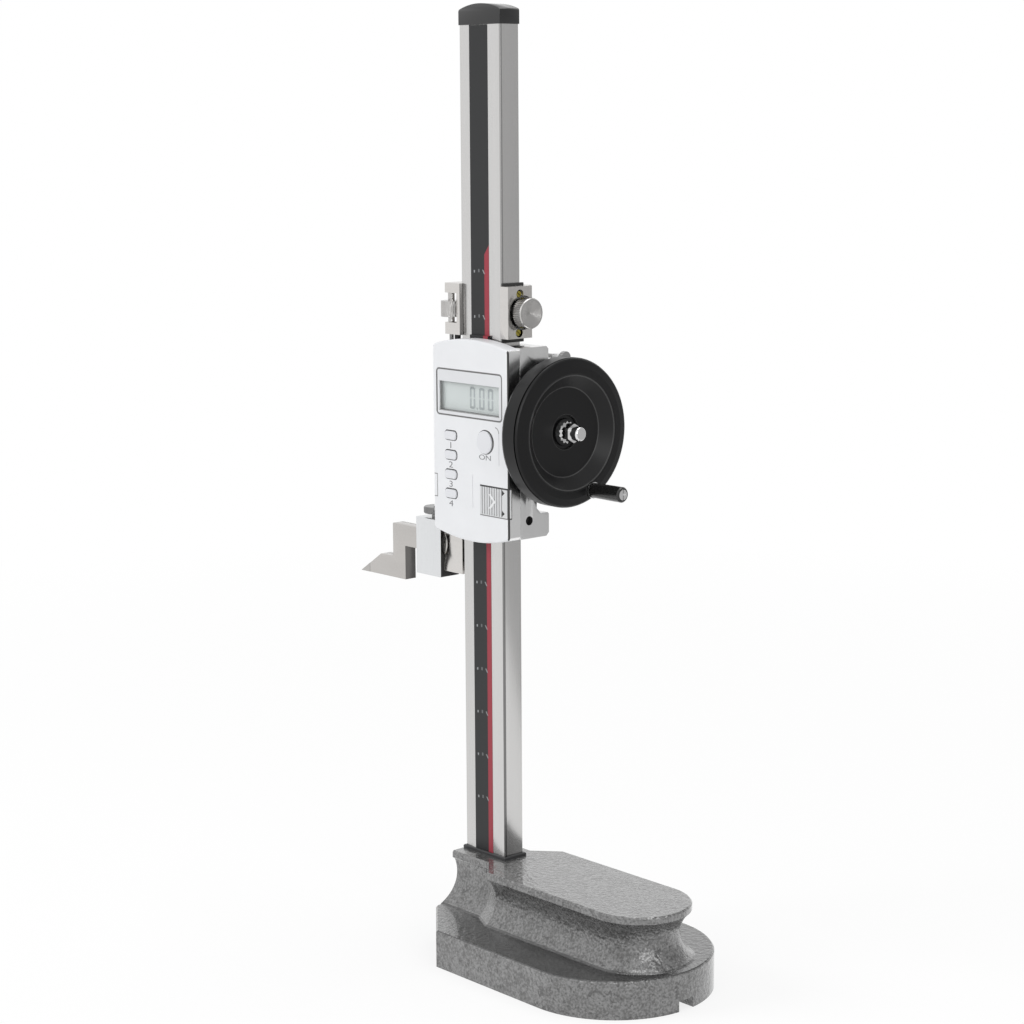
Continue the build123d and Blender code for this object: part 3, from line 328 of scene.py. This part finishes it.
# %% [markdown]
# ## The grey card
# In a white room polished metal loses its shape: every side mirrors the same white. A grey card
# behind the gauge, to the right, gives the right-hand sides something darker to mirror, so that the
# corners of the column read as corners. It could be a painted panel or a dark lamp. A plain glowing
# sheet is the simplest, and because only mirror rays meet it, it neither lights nor shades the
# gauge.

# %% Stand a grey card at the back right
CARD_AWAY = Vector((0.747, 0.665, 0.0))
CARD_DISTANCE = 0.5
CARD_WIDTH = 0.8
CARD_HEIGHT = 1.1
CARD_LEVEL = 0.52

card_mesh = bpy.data.meshes.new("grey_card")
side = Vector((-CARD_AWAY.y, CARD_AWAY.x, 0.0)) * CARD_WIDTH / 2
foot = CARD_AWAY * CARD_DISTANCE
rise = Vector((0.0, 0.0, CARD_HEIGHT))
shape = bmesh.new()
corners = (foot - side, foot + side, foot + side + rise, foot - side + rise)
shape.faces.new([shape.verts.new(corner) for corner in corners])
shape.to_mesh(card_mesh)
shape.free()
card = bpy.data.objects.new("grey_card", card_mesh)
scene.collection.objects.link(card)
card.visible_camera = False
card.visible_diffuse = False
card.visible_shadow = False
card_finish = Finish("card_grey", Base_Color=grey(0.0), Roughness=1.0, Specular_IOR_Level=0.0)
card_finish.set(Emission_Color=grey(CARD_LEVEL), Emission_Strength=1.0)
card.data.materials.append(card_finish.material)
print("card", CARD_WIDTH, "by", CARD_HEIGHT, "m")

# %% [markdown]
# ## The lamps
# Three soft boxes: a wide one high on the left that models the base, a weaker one on the right, and
# one overhead. Each points at the middle of the gauge. Small lamps would give hard shadows and hot
# spots on the metal, so these are a metre wide or more. The wide one lights the surfaces but is
# left out of their mirror image, so that polished metal on the front shows only the white room.

# %% Hang the lamps
def softbox(name, place, size, power, mirrored=True):
    """A square area lamp that faces the gauge."""
    data = bpy.data.lights.new(name, "AREA")
    data.shape = "SQUARE"
    data.size = size
    data.energy = power
    lamp = bpy.data.objects.new(name, data)
    scene.collection.objects.link(lamp)
    lamp.location = place
    lamp.visible_glossy = mirrored
    lamp.rotation_euler = (AIM - Vector(place)).to_track_quat("-Z", "Y").to_euler()


softbox("key_light", (-1.3, -1.7, 1.5), 1.2, 26.0, mirrored=False)
softbox("fill_light", (1.9, -0.6, 0.9), 1.0, 7.0)
softbox("top_light", (0.3, 0.4, 2.2), 1.4, 16.0)

# %% [markdown]
# ## Eased edges
# No machined edge is truly sharp: a thin bevel along it catches a line of light. The CAD solids are
# exact, so a copy of each one is welded into a clean mesh, its flat areas are joined, and a Bevel
# modifier rounds only the edges that turn by more than a given angle. The copy stands in for the
# CAD piece.

# %% A helper that eases a CAD piece
WELD = 0.004
FLAT = math.radians(0.6)
SHARP = math.radians(32.0)
SEGMENTS = 2


def eased(node, width):
    """A copy of a CAD node with softened edges, which replaces it."""
    source = nodes[node]
    mesh = bpy.data.meshes.new(node + "_eased")
    shape = bmesh.new()
    shape.from_mesh(source.data)
    bmesh.ops.remove_doubles(shape, verts=shape.verts, dist=WELD * MM)
    bmesh.ops.dissolve_limit(
        shape, angle_limit=FLAT, verts=shape.verts, edges=shape.edges,
        use_dissolve_boundaries=False)
    bmesh.ops.recalc_face_normals(shape, faces=shape.faces)
    for face in shape.faces:
        face.smooth = True
    shape.to_mesh(mesh)
    shape.free()
    piece = bpy.data.objects.new(node + "_eased", mesh)
    scene.collection.objects.link(piece)
    bevel = piece.modifiers.new("ease", "BEVEL")
    bevel.width = width * MM
    bevel.segments = SEGMENTS
    bevel.limit_method = "ANGLE"
    bevel.angle_limit = SHARP
    bevel.harden_normals = True
    bevel.miter_outer = "MITER_ARC"
    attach(piece, source["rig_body"])
    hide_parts(node)
    return piece


slots = {entry["node"]: entry["material_slot"] for entry in frame["record"]["subparts"]}
EASED = {
    "column_beam": 0.35,
    "end_cap": 0.8,
    "slider_frame": 0.5,
    "gear_housing": 0.5,
    "jaw_arm": 0.3,
    "scriber_clamp_box": 0.35,
    "scriber": 0.25,
    "carriage_block": 0.4,
    "carriage_gib": 0.2,
    "slider_gib": 0.2,
}
pieces = {name: eased(name, width) for name, width in EASED.items()}
print("eased", {name: len(piece.data.polygons) for name, piece in pieces.items()})

# %% [markdown]
# ## Gloss paint over a cast skin
# The base is cast iron under thick dark grey paint. The paint levels itself but never quite flat,
# so its shine bends a little: straight things mirrored in it get ragged borders. Fine noise
# speckles the pigment, broad noise clouds it, and a bump of low waves, a millimetre or two across,
# breaks up the mirror. Seen at a shallow angle such paint mirrors the bright room, which is why the
# flat top looks pale and the upright sides look dark.

# %% Mix the base paint
PAINT_DARK = 0.10
PAINT_LIGHT = 0.235
LEDGE = (21.0, 22.4)
WAVE_DEPTH = 1.2
base_paint = Finish("base_paint", Metallic=0.4, IOR=1.6, Coat_Weight=0.85, Coat_Roughness=0.08)
specks = base_paint.noise(1.3, 2.0, roughness=0.6)
clouds = base_paint.noise(9.0, 3.0)
pits = base_paint.noise(2.3, 1.0).ramp(0.60, 0.68)
pigment = (specks * 1.3 + clouds * 0.5).ramp(0.72, 1.08)
base_paint.colour = base_paint.blend(pigment, grey(PAINT_DARK, 0.01), grey(PAINT_LIGHT, 0.0))
# Painted shade and dark reflection: the band between 21 and 22.4 mm high is darkened where it mirrors
# the dark cove above.
base_paint.paint(base_paint.inside(z=LEDGE) * 0.75, grey(0.03))
base_paint.paint(pits * 0.6, grey(0.035))
base_paint.set(Roughness=0.12 + specks * 0.12)
waves = base_paint.noise(2.6, 1.0) * 0.75 + base_paint.noise(1.2, 1.0) * 0.25
base_paint.bump(waves, 1.0, WAVE_DEPTH)
print("base paint mixed")

# %% [markdown]
# ## Ground and turned metal
# A surface grinder leaves long fine scratches in one direction, and a lathe leaves rings. Noise
# that is stretched along the direction of grinding gives faint streaks of colour and gloss. Rings
# come from the distance to the axis of the turned piece, cut into even steps. One function serves
# every metal, because only the tint, the gloss and the direction differ.

# %% Mix the metals
ALONG = {"X": (0.03, 1.0, 1.0), "Y": (1.0, 0.03, 1.0), "Z": (1.0, 1.0, 0.03)}


def metal(name, colour, rough, grain="Z", swing=0.05, streak=0.5, **sockets):
    """Metal with faint scratches along one axis."""
    finish = Finish(name, Metallic=1.0, **sockets)
    fine = finish.noise(streak, 3.0, ALONG[grain])
    wide = finish.noise(14.0, 2.0, ALONG[grain])
    shade = (fine * 0.4 + wide * 0.6).ramp(0.3, 0.7)
    low = tuple(c * (1 - swing) for c in colour[:3]) + (1.0,)
    high = tuple(min(c * (1 + swing), 1.0) for c in colour[:3]) + (1.0,)
    finish.colour = finish.blend(shade, low, high)
    finish.rough = (rough - 0.02) + fine * 0.05
    finish.set(Base_Color=finish.colour, Roughness=finish.rough)
    finish.bump(fine, 0.25, 0.004)
    return finish


def away(finish, centre):
    """Millimetres from an axis along X through (y, z)."""
    a = finish.axis(1) - centre[0]
    b = finish.axis(2) - centre[1]
    return (a * a + b * b).root()


def turned(finish, centre, pitch=0.8):
    """Lathe rings about an axis along X through `centre`."""
    radius = away(finish, centre)
    ring = abs(radius.wrap(pitch) - pitch / 2) / (pitch / 2)
    finish.bump(ring, 0.8, 0.09)
    return radius


column_steel = metal("column_steel", grey(0.61, 0.01), 0.25, "Z")
frame_steel = metal("frame_steel", grey(0.76, 0.0), 0.22, "Z")
ground_steel = metal("ground_steel", grey(0.63, 0.03), 0.23, "X")
scriber_steel = metal("scriber_steel", grey(0.50, 0.035), 0.20, "X")
clamp_steel = metal("clamp_steel", grey(0.74, -0.015), 0.26, "Z")
knob_steel = metal("knob_steel", grey(0.50, 0.02), 0.24, "X")
lock_knob_steel = metal("lock_knob_steel", grey(0.42, 0.0), 0.18, "X")
clamp_screw_steel = metal("clamp_screw_steel", grey(0.24, 0.0), 0.26, "Z")
rack_steel = metal("rack_steel", grey(0.48, 0.0), 0.30, "X")
carbide = metal("carbide", grey(0.46, 0.03), 0.20, "X")
chrome = metal("bright_chrome", grey(0.76, 0.0), 0.07, "X", swing=0.03)
dark_fastener = metal("black_oxide", grey(0.035, 0.0), 0.36, "Z", swing=0.3)
brass = metal("brass", (0.42, 0.36, 0.08, 1.0), 0.3, "X")
bronze = metal("bronze", (0.45, 0.26, 0.12, 1.0), 0.4, "X")
cell_steel = metal("cell_steel", grey(0.75, 0.0), 0.2, "X")
print("metals mixed")

# %% [markdown]
# ## Painted shade in corners and recesses
# The narrow strip along the column's front right corner is painted dark, more strongly lower down:
# painted shade and dark reflection along the corner. The column's foot, sunk in the base, is given
# the base's paint, because the cove at the casting's left end breaks into the socket and a little of
# the foot shows there. The scriber and its clamp are painted darker on the faces that turn to +X, as
# painted shade and dark reflection. Deep places hardly see any light, and their shade is painted in:
# the bore of the screw in the slider's lower lug, the holes round the carriage's two brass screws, the
# recess behind its knob and the side of its left lip. They could be separate materials on separate
# faces. Masks in millimetres do the same without cutting up the mesh.

# %% Darken the corners and recesses
CORNER_X = (16.35, 17.2)
CORNER_Y = (-7.2, -5.5)
SUNK_Z = (0.0, 52.6)
KNOB_CENTRE = (2.8, 369.2)
CARRIAGE_Z = (350.0, 390.0)
GIB_SCREWS = ((0.3, 358.25), (0.3, 379.55))
LUG_SCREW = (-2.2, 253.55)

corner = column_steel.inside(x=CORNER_X, y=CORNER_Y)
column_steel.paint(column_steel.inside(z=SUNK_Z), grey(0.15), 0.3, 0.5)
# Painted shade and dark reflection along the column's front right corner, stronger lower down.
column_steel.paint(corner * column_steel.axis(2).ramp(150.0, 450.0, 0.75, 0.4), grey(0.06))

knob_away = turned(knob_steel, KNOB_CENTRE)
knurl = (knob_away > 8.0) * knob_steel.inside(x=(20.0, 30.7), z=(355.0, 384.0))
knob_steel.paint(knurl * 0.6, grey(0.12))

# Painted shade on the side of the carriage's left lip.
lip_side = ground_steel.inside(x=(-16.2, -14.8), y=(-9.6, -7.0), z=CARRIAGE_Z)
ground_steel.paint(lip_side * 0.7, grey(0.10))
# Painted shade in the holes round the two brass screws.
for screw in GIB_SCREWS:
    sunken = (away(ground_steel, screw) < 2.75) * ground_steel.inside(x=(18.9, 23.85))
    ground_steel.paint(sunken, grey(0.015))
# Painted shade in the recess behind the knob.
recess = (away(ground_steel, KNOB_CENTRE) < 9.6) * ground_steel.inside(x=(21.9, 23.6), z=CARRIAGE_Z)
ground_steel.paint(recess, grey(0.16))

# Painted shade in the bore of the lug screw.
bore = (away(frame_steel, LUG_SCREW) < 2.9) * frame_steel.inside(x=(25.0, 33.97))
frame_steel.paint(bore, grey(0.01), 0.6, 0.0)
# Painted shade and dark reflection on the scriber's and the clamp's faces that turn to +X.
scriber_steel.paint(scriber_steel.facing(0) * 0.85, grey(0.07, 0.03))
clamp_steel.paint(clamp_steel.facing(0), grey(0.05))
print("corners and recesses darkened")

# %% [markdown]
# ## Plastics
# The display is moulded plastic under a pale silver paint, with a grain so fine that it only shows
# as softness. The wheel is black with a satin skin, and the cap is polished black. One even colour
# and gloss would do from afar, but up close it looks like a drawing. Each plastic gets a little
# noise in its colour, its gloss and its surface, so that a wide highlight is never perfectly even.

# %% Mix the plastics
def plastic(name, colour, rough, coat=0.0, peel=0.05, grain=0.25, **sockets):
    """Moulded or painted plastic."""
    finish = Finish(name, Coat_Weight=coat, Coat_Roughness=0.15, **sockets)
    fine = finish.noise(grain, 2.0)
    cloud = finish.noise(12.0, 2.0)
    darker = tuple(c * 0.93 for c in colour[:3]) + (1.0,)
    finish.colour = finish.blend(cloud, colour, darker)
    finish.rough = (rough - 0.04) + fine * 0.08
    finish.set(Base_Color=finish.colour, Roughness=finish.rough)
    finish.bump(fine, peel, 0.03)
    return finish


silver_plastic = plastic("silver_plastic", (0.80, 0.81, 0.83, 1), 0.42, Metallic=0.0)
bezel_plastic = plastic("bezel_plastic", (0.72, 0.73, 0.75, 1), 0.42)
key_plastic = plastic("key_plastic", (0.74, 0.75, 0.78, 1), 0.30, coat=0.2)
cover_plastic = plastic("cover_plastic", (0.66, 0.67, 0.68, 1), 0.36)
port_plastic = plastic("port_plastic", (0.78, 0.79, 0.81, 1), 0.36)
wheel_black = plastic(
    "wheel_black", (0.005, 0.005, 0.0055, 1), 0.32, peel=0.12, grain=0.5, Specular_IOR_Level=0.28)
grip_plastic = plastic("grip_plastic", (0.010, 0.010, 0.010, 1), 0.28, coat=0.3)
cap_plastic = plastic("cap_plastic", (0.005, 0.005, 0.0055, 1), 0.12, IOR=1.66)
collar_paint = plastic("collar_paint", (0.035, 0.035, 0.037, 1), 0.30, peel=0.9, grain=0.9)
dark_seal = plastic("dark_seal", (0.02, 0.02, 0.02, 1), 0.55)
scale_black = plastic("scale_black", (0.018, 0.0185, 0.0195, 1), 0.42, Specular_IOR_Level=0.35)
grey_plastic = plastic("grey_plastic", (0.25, 0.25, 0.26, 1), 0.5)
board = plastic("board", (0.03, 0.16, 0.08, 1), 0.45)
lcd = plastic("lcd", (0.62, 0.67, 0.665, 1), 0.30)
lens = plastic("lens", (0.9, 0.93, 0.92, 1), 0.06, Alpha=0.10)
print("plastics mixed")

# %% [markdown]
# ## Painted highlights on the hand wheel
# Thin glints of light along the rim's inner edge, the edge of the dished disc and the hub are painted
# in as faint grey rings. A painted dark line, black and without shine, stands for the dark reflection
# along the edge where the rim's side meets its front. The lines are thin rings of colour at a set
# distance from the axle, so they stay exact however coarse the mesh is.

# %% Draw the rings of the wheel
AXLE = (15.0, 303.1)
RIM_INSIDE = 41.0
RIM_EDGE_X = (48.85, 49.5)
EDGE_HIGHLIGHT_RINGS = (  # radius, half width, level
    (25.3, 0.3, 0.05),
    (32.2, 0.35, 0.05),
    (9.9, 0.3, 0.03),
)
wheel_away = away(wheel_black, AXLE)
# Painted highlights: faint grey rings along the wheel's edges.
for radius, half_width, shine in EDGE_HIGHLIGHT_RINGS:
    wheel_black.paint(abs(wheel_away - radius) < half_width, grey(shine))
# Painted dark reflection along the rim's front edge: black, metallic and without shine.
rim_edge_dark_reflection = (wheel_away > RIM_INSIDE) * wheel_black.inside(x=RIM_EDGE_X)
wheel_black.paint(rim_edge_dark_reflection, grey(0.001), 0.6, 1.0)
print("wheel rings drawn:", len(EDGE_HIGHLIGHT_RINGS))

# %% [markdown]
# ## The housing's joints and painted shadows
# Between two moulded parts there is always a thin dark joint. On the housing the joints run round the
# keys and the window frame. Round each key a second, darker ring is shifted to the upper right: that
# is painted shadow beside the raised key. They could be modelled as grooves, but at a fifth of a
# millimetre a line of colour reads the same. The right-hand side of the housing is bare metal with
# one dark line along its front edge, and its inside is painted dark as shade.

# %% Draw the joints of the housing
JOINT_AND_SHADOW = grey(0.05)
SOFT_JOINT = grey(0.28)
KEY_X = -15.0
KEY_ROWS = (298.5, 287.3, 276.2, 265.1)
SIDE_X = (33.1, 35.0)
FRONT_Y = -17.5
ARC_CENTRE = (23.0, 303.3)
ARC_RADIUS = 3.3

silver_plastic.paint(silver_plastic.inside(x=SIDE_X, z=(230.0, 360.0)), grey(0.88), 0.22, 1.0)
# A dark line along the front edge of the housing's right-hand side.
side_front_line = silver_plastic.inside(x=SIDE_X, y=(-17.7, -16.6))
silver_plastic.paint(side_front_line, grey(0.03), 0.5, 0.0)
# Painted shade: the housing's inside, the walls of its holes and the floor of its recess are painted
# dark.
behind = silver_plastic.inside(x=(-29.5, 32.9), y=(-17.45, -8.0), z=(246.0, 348.9))
silver_plastic.paint(behind, grey(0.06))
front = silver_plastic.axis(1) < FRONT_Y


def joint(rectangle, width, colour):
    """A line on the housing's front round x0, x1, z0, z1 and corner radius."""
    silver_plastic.paint((silver_plastic.beyond(*rectangle) < width) * front, colour)


# Round each key a soft joint, and a darker ring shifted to the upper right that is painted shadow.
for key_z in KEY_ROWS:
    joint((KEY_X - 5.2, KEY_X + 5.2, key_z - 2.7, key_z + 2.7, 2.2), 0.22, SOFT_JOINT)
    joint((KEY_X - 4.9, KEY_X + 5.35, key_z - 2.45, key_z + 2.75, 2.1), 0.42, JOINT_AND_SHADOW)
# The round key: a soft joint, and a painted shadow ring shifted to the upper right.
joint((7.9, 20.9, 290.9, 303.9, 6.5), 0.28, SOFT_JOINT)
joint((8.4, 21.8, 291.0, 304.2, 6.6), 0.30, JOINT_AND_SHADOW)
joint((-27.15, 29.15, 309.9, 336.45, 2.4), 0.25, SOFT_JOINT)
arc_x = silver_plastic.axis(0) - ARC_CENTRE[0]
arc_z = silver_plastic.axis(2) - ARC_CENTRE[1]
arc = abs((arc_x * arc_x + arc_z * arc_z).root() - ARC_RADIUS) < 0.28
arc = arc * (arc_x > 0.3) * (arc_z > 0.0) * front
silver_plastic.paint(arc, SOFT_JOINT)
print("joints round", len(KEY_ROWS) + 1, "keys")

# %% [markdown]
# ## The window frame and the covers
# The window's frame is darker along its rim. Painted shadow darkens the frame inside the window's left
# edge and draws a thin line along the bottom of the window, and the panel below the glass shows a
# painted shadow line along its bottom. The battery cover has ribs for a thumb, and its right end
# wraps round the housing's side. Both covers have a dark joint. The ribs are a stripe pattern: the
# distance along X, wrapped at the pitch of the ribs.

# %% Draw the frame's and the covers' lines
RIB_START = 11.5
RIB_PITCH = 2.05
RIB_WIDTH = 0.9
WRAP_X = (33.1, 34.5)

frame_edge = bezel_plastic.beyond(-26.8, 28.8, 310.2, 336.1, 2.2)
bezel_plastic.paint(frame_edge > -0.40, grey(0.20))
# Painted shadow: a dark strip inside the window's left edge, a thin line along its bottom, and a band
# on the panel.
bezel_plastic.paint(bezel_plastic.inside(x=(-27.0, -26.2)), grey(0.06))
bezel_plastic.paint(bezel_plastic.inside(x=(-24.9, 26.8), z=(312.3, 312.75)), grey(0.30))
lcd.paint(lcd.inside(z=(311.0, 312.9)), grey(0.20))

rib = (cover_plastic.axis(0) - RIB_START).wrap(RIB_PITCH) < RIB_WIDTH
ribbed = cover_plastic.inside(x=(10.9, 29.0), z=(256.8, 272.3))
cover_plastic.paint(rib * ribbed * 0.4, grey(0.30))
cover_plastic.paint(cover_plastic.inside(z=(272.35, 273.4)), grey(0.03))
cover_plastic.paint(cover_plastic.inside(z=(255.5, 256.4)), grey(0.20))
cover_plastic.paint(cover_plastic.inside(x=WRAP_X), grey(0.04))
wrapped = cover_plastic.inside(x=WRAP_X, y=(-16.7, -15.55), z=(256.5, 272.5))
cover_plastic.paint(wrapped, grey(0.80))
port_edge = port_plastic.beyond(-32.0, -26.9, 262.1, 275.5, 1.0) > -0.45
port_plastic.paint(port_edge, grey(0.26))
print("frame and covers lined")

# %% [markdown]
# ## The printed scale
# The long scale is a charcoal strip glued into the column. A red stripe along its right side ends
# in a slanted tip, and shows how far the slider may travel. It could be a separate strip of faces.
# It is a mask in the strip's own finish instead, because ink of that width has no edge to feel, and
# one comparison with a sloping line cuts the tip. The small wiper that sweeps the strip has the
# same finish.

# %% Print the red stripe
STRIPE_X = 2.8
STRIPE_END = 401.0
STRIPE_EDGE = 6.7
TIP_SLOPE = 0.72
RED = (0.31, 0.035, 0.052, 1.0)
climb = (scale_black.axis(2) - STRIPE_END).either(0.0) * TIP_SLOPE
stripe = scale_black.axis(0) > climb + STRIPE_X
scale_black.paint(stripe * (scale_black.axis(0) < STRIPE_EDGE), RED)
print("red stripe up to", STRIPE_END, "mm")

# %% [markdown]
# ## Give every CAD slot its finish
# Each CAD piece names a slot, and a table says which finish fills it. Filling the slots one by one
# would work too, but a table shows at a glance what shares a finish and what does not. A few pieces
# that share a slot differ in look on the real gauge, such as the knurled screw and the chromed
# knob, and a second table names them.

# %% Dress the pieces
BY_SLOT = {
    "base_paint": base_paint,
    "dark_seal": collar_paint,
    "dark_seal_metal": dark_seal,
    "column_steel": column_steel,
    "dark_fastener": dark_fastener,
    "scale_black": scale_black,
    "rack_steel": rack_steel,
    "cap_plastic": cap_plastic,
    "frame_steel": frame_steel,
    "gib_brass": brass,
    "bush_bronze": bronze,
    "grey_plastic": grey_plastic,
    "silver_plastic": silver_plastic,
    "bezel_plastic": bezel_plastic,
    "lens": lens,
    "lcd": lcd,
    "board": board,
    "cell_steel": cell_steel,
    "felt": scale_black,
    "ground_steel": ground_steel,
    "clamp_steel": clamp_steel,
    "carbide": carbide,
    "knob_steel": knob_steel,
    "wheel_black": wheel_black,
    "bright_chrome": chrome,
    "grip_plastic": grip_plastic,
    "key_plastic": key_plastic,
    "cover_plastic": cover_plastic,
}
BY_NODE = {
    "clamp_screw": clamp_screw_steel,
    "slider_lock_knob": lock_knob_steel,
    "fine_adjust_rod": clamp_screw_steel,
    "port_cover": port_plastic,
    "scriber": scriber_steel,
    "lug_screw": dark_seal,
}


def dress(thing, finish):
    """Put one finish on a whole piece."""
    thing.data.materials.clear()
    thing.data.materials.append(finish.material)


for name, thing in nodes.items():
    finish = BY_NODE.get(name, BY_SLOT[slots[name]])
    dress(thing, finish)
    if name in pieces:
        dress(pieces[name], finish)
print("dressed", len(nodes), "nodes")

# %% [markdown]
# ## Print on flat faces
# Ink is far thinner than a sheet of paper. It could be an image laid over the housing, which blurs
# up close, or a groove cut into it, which is far too deep. Here each mark is a flat face that
# floats two hundredths of a millimetre in front of its ground, sharp at any distance. The helper
# takes outlines as (x, z) points in millimetres, which is how a drawing of the front gives them.
# Marks of one ink on one piece share one mesh. Letters are set wide, as small print on instruments
# often is, and turned into a mesh before they are put in place.

# %% Helpers for flat marks
INK_GAP = 0.02
WIDEN = 1.6


def ride_with(piece, node, finish):
    """Move with the body that carries a CAD node, in the given finish."""
    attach(piece, nodes[node]["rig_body"])
    dress(piece, finish)


def marks(name, outlines, face_y, node, finish):
    """Flat marks in front of the plane y = face_y."""
    mesh = bpy.data.meshes.new(name)
    shape = bmesh.new()
    for outline in outlines:
        corners = [shape.verts.new((x * MM, (face_y - INK_GAP) * MM, z * MM)) for x, z in outline]
        shape.faces.new(corners)
    bmesh.ops.recalc_face_normals(shape, faces=shape.faces)
    shape.to_mesh(mesh)
    shape.free()
    piece = bpy.data.objects.new(name, mesh)
    scene.collection.objects.link(piece)
    ride_with(piece, node, finish)
    print(name, len(outlines), "marks")


def patch(x0, x1, z0, z1):
    """An upright rectangle."""
    return [(x0, z0), (x1, z0), (x1, z1), (x0, z1)]


def slanted(x0, x1, z0, z1, width):
    """A slanted stroke of the given width, from (x0, z0) to (x1, z1)."""
    return [(x0, z0), (x0 + width, z0), (x1 + width, z1), (x1, z1)]


def lettering(name, words, size, face_y, node, finish):
    """Plain letters or numbers on a front face; each word is (text, x, z) and is centred there."""
    mesh = bpy.data.meshes.new(name)
    shape = bmesh.new()
    for text, x, z in words:
        curve = bpy.data.curves.new(name + "_" + text, "FONT")
        curve.body = text
        curve.size = size * MM
        curve.align_x = "CENTER"
        curve.align_y = "CENTER"
        curve.resolution_u = 4
        drawn = bpy.data.objects.new(curve.name, curve)
        scene.collection.objects.link(drawn)
        flat = drawn.to_mesh()
        flat.transform(Matrix((
            (WIDEN, 0, 0, x * MM),
            (0, 0, -1, (face_y - INK_GAP) * MM),
            (0, 1, 0, z * MM),
            (0, 0, 0, 1),
        )))
        shape.from_mesh(flat)
        drawn.to_mesh_clear()
        bpy.data.objects.remove(drawn)
        bpy.data.curves.remove(curve)
    shape.to_mesh(mesh)
    shape.free()
    piece = bpy.data.objects.new(name, mesh)
    scene.collection.objects.link(piece)
    ride_with(piece, node, finish)
    print(name, len(words), "words,", len(mesh.polygons), "faces")


print("marks float", INK_GAP, "mm off their ground")

# %% [markdown]
# ## Marks on the scale
# Every inch the strip carries a dot at the left, a faint dash in the middle and a slanted tick
# beside the red stripe. The reading head senses the strip by itself, so these are only a rough
# guide for the eye. They could be an array of one mark, but a list of heights is just as short and
# keeps the spacing in sight.

# %% Print the inch marks
FIRST_MARK = 86.75
INCH = 25.4
MARK_COUNT = 13
SCALE_Y = -7.0
rows = [FIRST_MARK + INCH * n for n in range(MARK_COUNT)]
pale_ink = plastic("pale_ink", (0.30, 0.31, 0.32, 1), 0.5)
faint_ink = plastic("faint_ink", (0.13, 0.135, 0.14, 1), 0.5)
dots = [patch(-6.2, -5.2, z - 0.9, z + 0.5) for z in rows]
ticks = [slanted(1.0, 2.5, z + 0.9, z - 1.3, 0.8) for z in rows]
dashes = [patch(-2.5, -1.3, z - 0.6, z + 1.2) for z in rows]
marks("scale_marks", dots + ticks, SCALE_Y, "scale_strip", pale_ink)
marks("scale_dashes", dashes, SCALE_Y, "scale_strip", faint_ink)

# %% [markdown]
# ## The reading
# A liquid crystal display builds each figure from seven bars. A font would draw them with curves
# and the wrong gaps, so they are set from bars as the glass does it: six of the seven for a nought,
# and a square point after the first figure.

# %% Draw the reading 0.00
LCD_Y = -15.1
FIGURE_Z = 314.8
FIGURE_WIDTH = 4.7
FIGURE_HEIGHT = 12.6
FIGURES_X = (-1.1, 6.8, 14.2)
BAR = 1.5
POINT_X = 4.7
POINT = 1.1
HALF = FIGURE_HEIGHT / 2
NIP = 0.9
bars = []
for x in FIGURES_X:
    end = x + FIGURE_WIDTH
    for z in (FIGURE_Z, FIGURE_Z + FIGURE_HEIGHT - BAR):
        bars.append(patch(x + NIP, end - NIP, z, z + BAR))
    for z in (FIGURE_Z + 0.5, FIGURE_Z + HALF + 0.3):
        bars.append(patch(x, x + BAR, z, z + HALF - 0.8))
        bars.append(patch(end - BAR, end, z, z + HALF - 0.8))
bars.append(patch(POINT_X, POINT_X + POINT, FIGURE_Z, FIGURE_Z + POINT))
lcd_ink = plastic("lcd_ink", (0.34, 0.385, 0.40, 1), 0.4)
marks("lcd_figures", bars, LCD_Y, "lcd_panel", lcd_ink)

# %% [markdown]
# ## Print on the housing
# The keys are told apart by plain numbers, and the round one by a plain ON. The print is a soft
# grey, as thin pad printing is. The battery cover carries a pale arrow that shows which way it
# slides, and two small black pointers beside it. Letters come from Blender's own font, and the
# arrow and pointers from a few corners each, because nothing rounder is needed.

# %% Print the key numbers, the arrow and the pointers
FACE_Y = -17.8
NUMBER_DROP = 5.7
ARROW_WIDTH = 2.0
POINTER_X = (28.6, 30.9)
POINTER_ROWS = (270.4, 258.8)
POINTER_HALF = 1.7
key_ink = plastic("key_ink", (0.20, 0.20, 0.21, 1), 0.5)
numbers = [(str(n + 1), KEY_X, KEY_ROWS[n] - NUMBER_DROP) for n in range(len(KEY_ROWS))]
lettering("key_numbers", numbers, 5.0, FACE_Y, "display_housing", key_ink)
lettering("power_label", [("ON", 14.6, 288.7)], 4.2, FACE_Y, "display_housing", key_ink)
arrow_ink = plastic("arrow_ink", (0.80, 0.81, 0.82, 1), 0.4)
arrow = [slanted(17.2, 21.2, 268.6, 264.6, ARROW_WIDTH), slanted(21.2, 17.2, 264.6, 260.4, ARROW_WIDTH)]
marks("cover_arrow", arrow, FACE_Y, "battery_cover", arrow_ink)
black_ink = plastic("black_ink", (0.02, 0.02, 0.02, 1), 0.5)
foot_x, tip_x = POINTER_X
pointers = [[(foot_x, z - POINTER_HALF), (tip_x, z), (foot_x, z + POINTER_HALF)] for z in POINTER_ROWS]
marks("cover_pointers", pointers, FACE_Y, "battery_cover", black_ink)
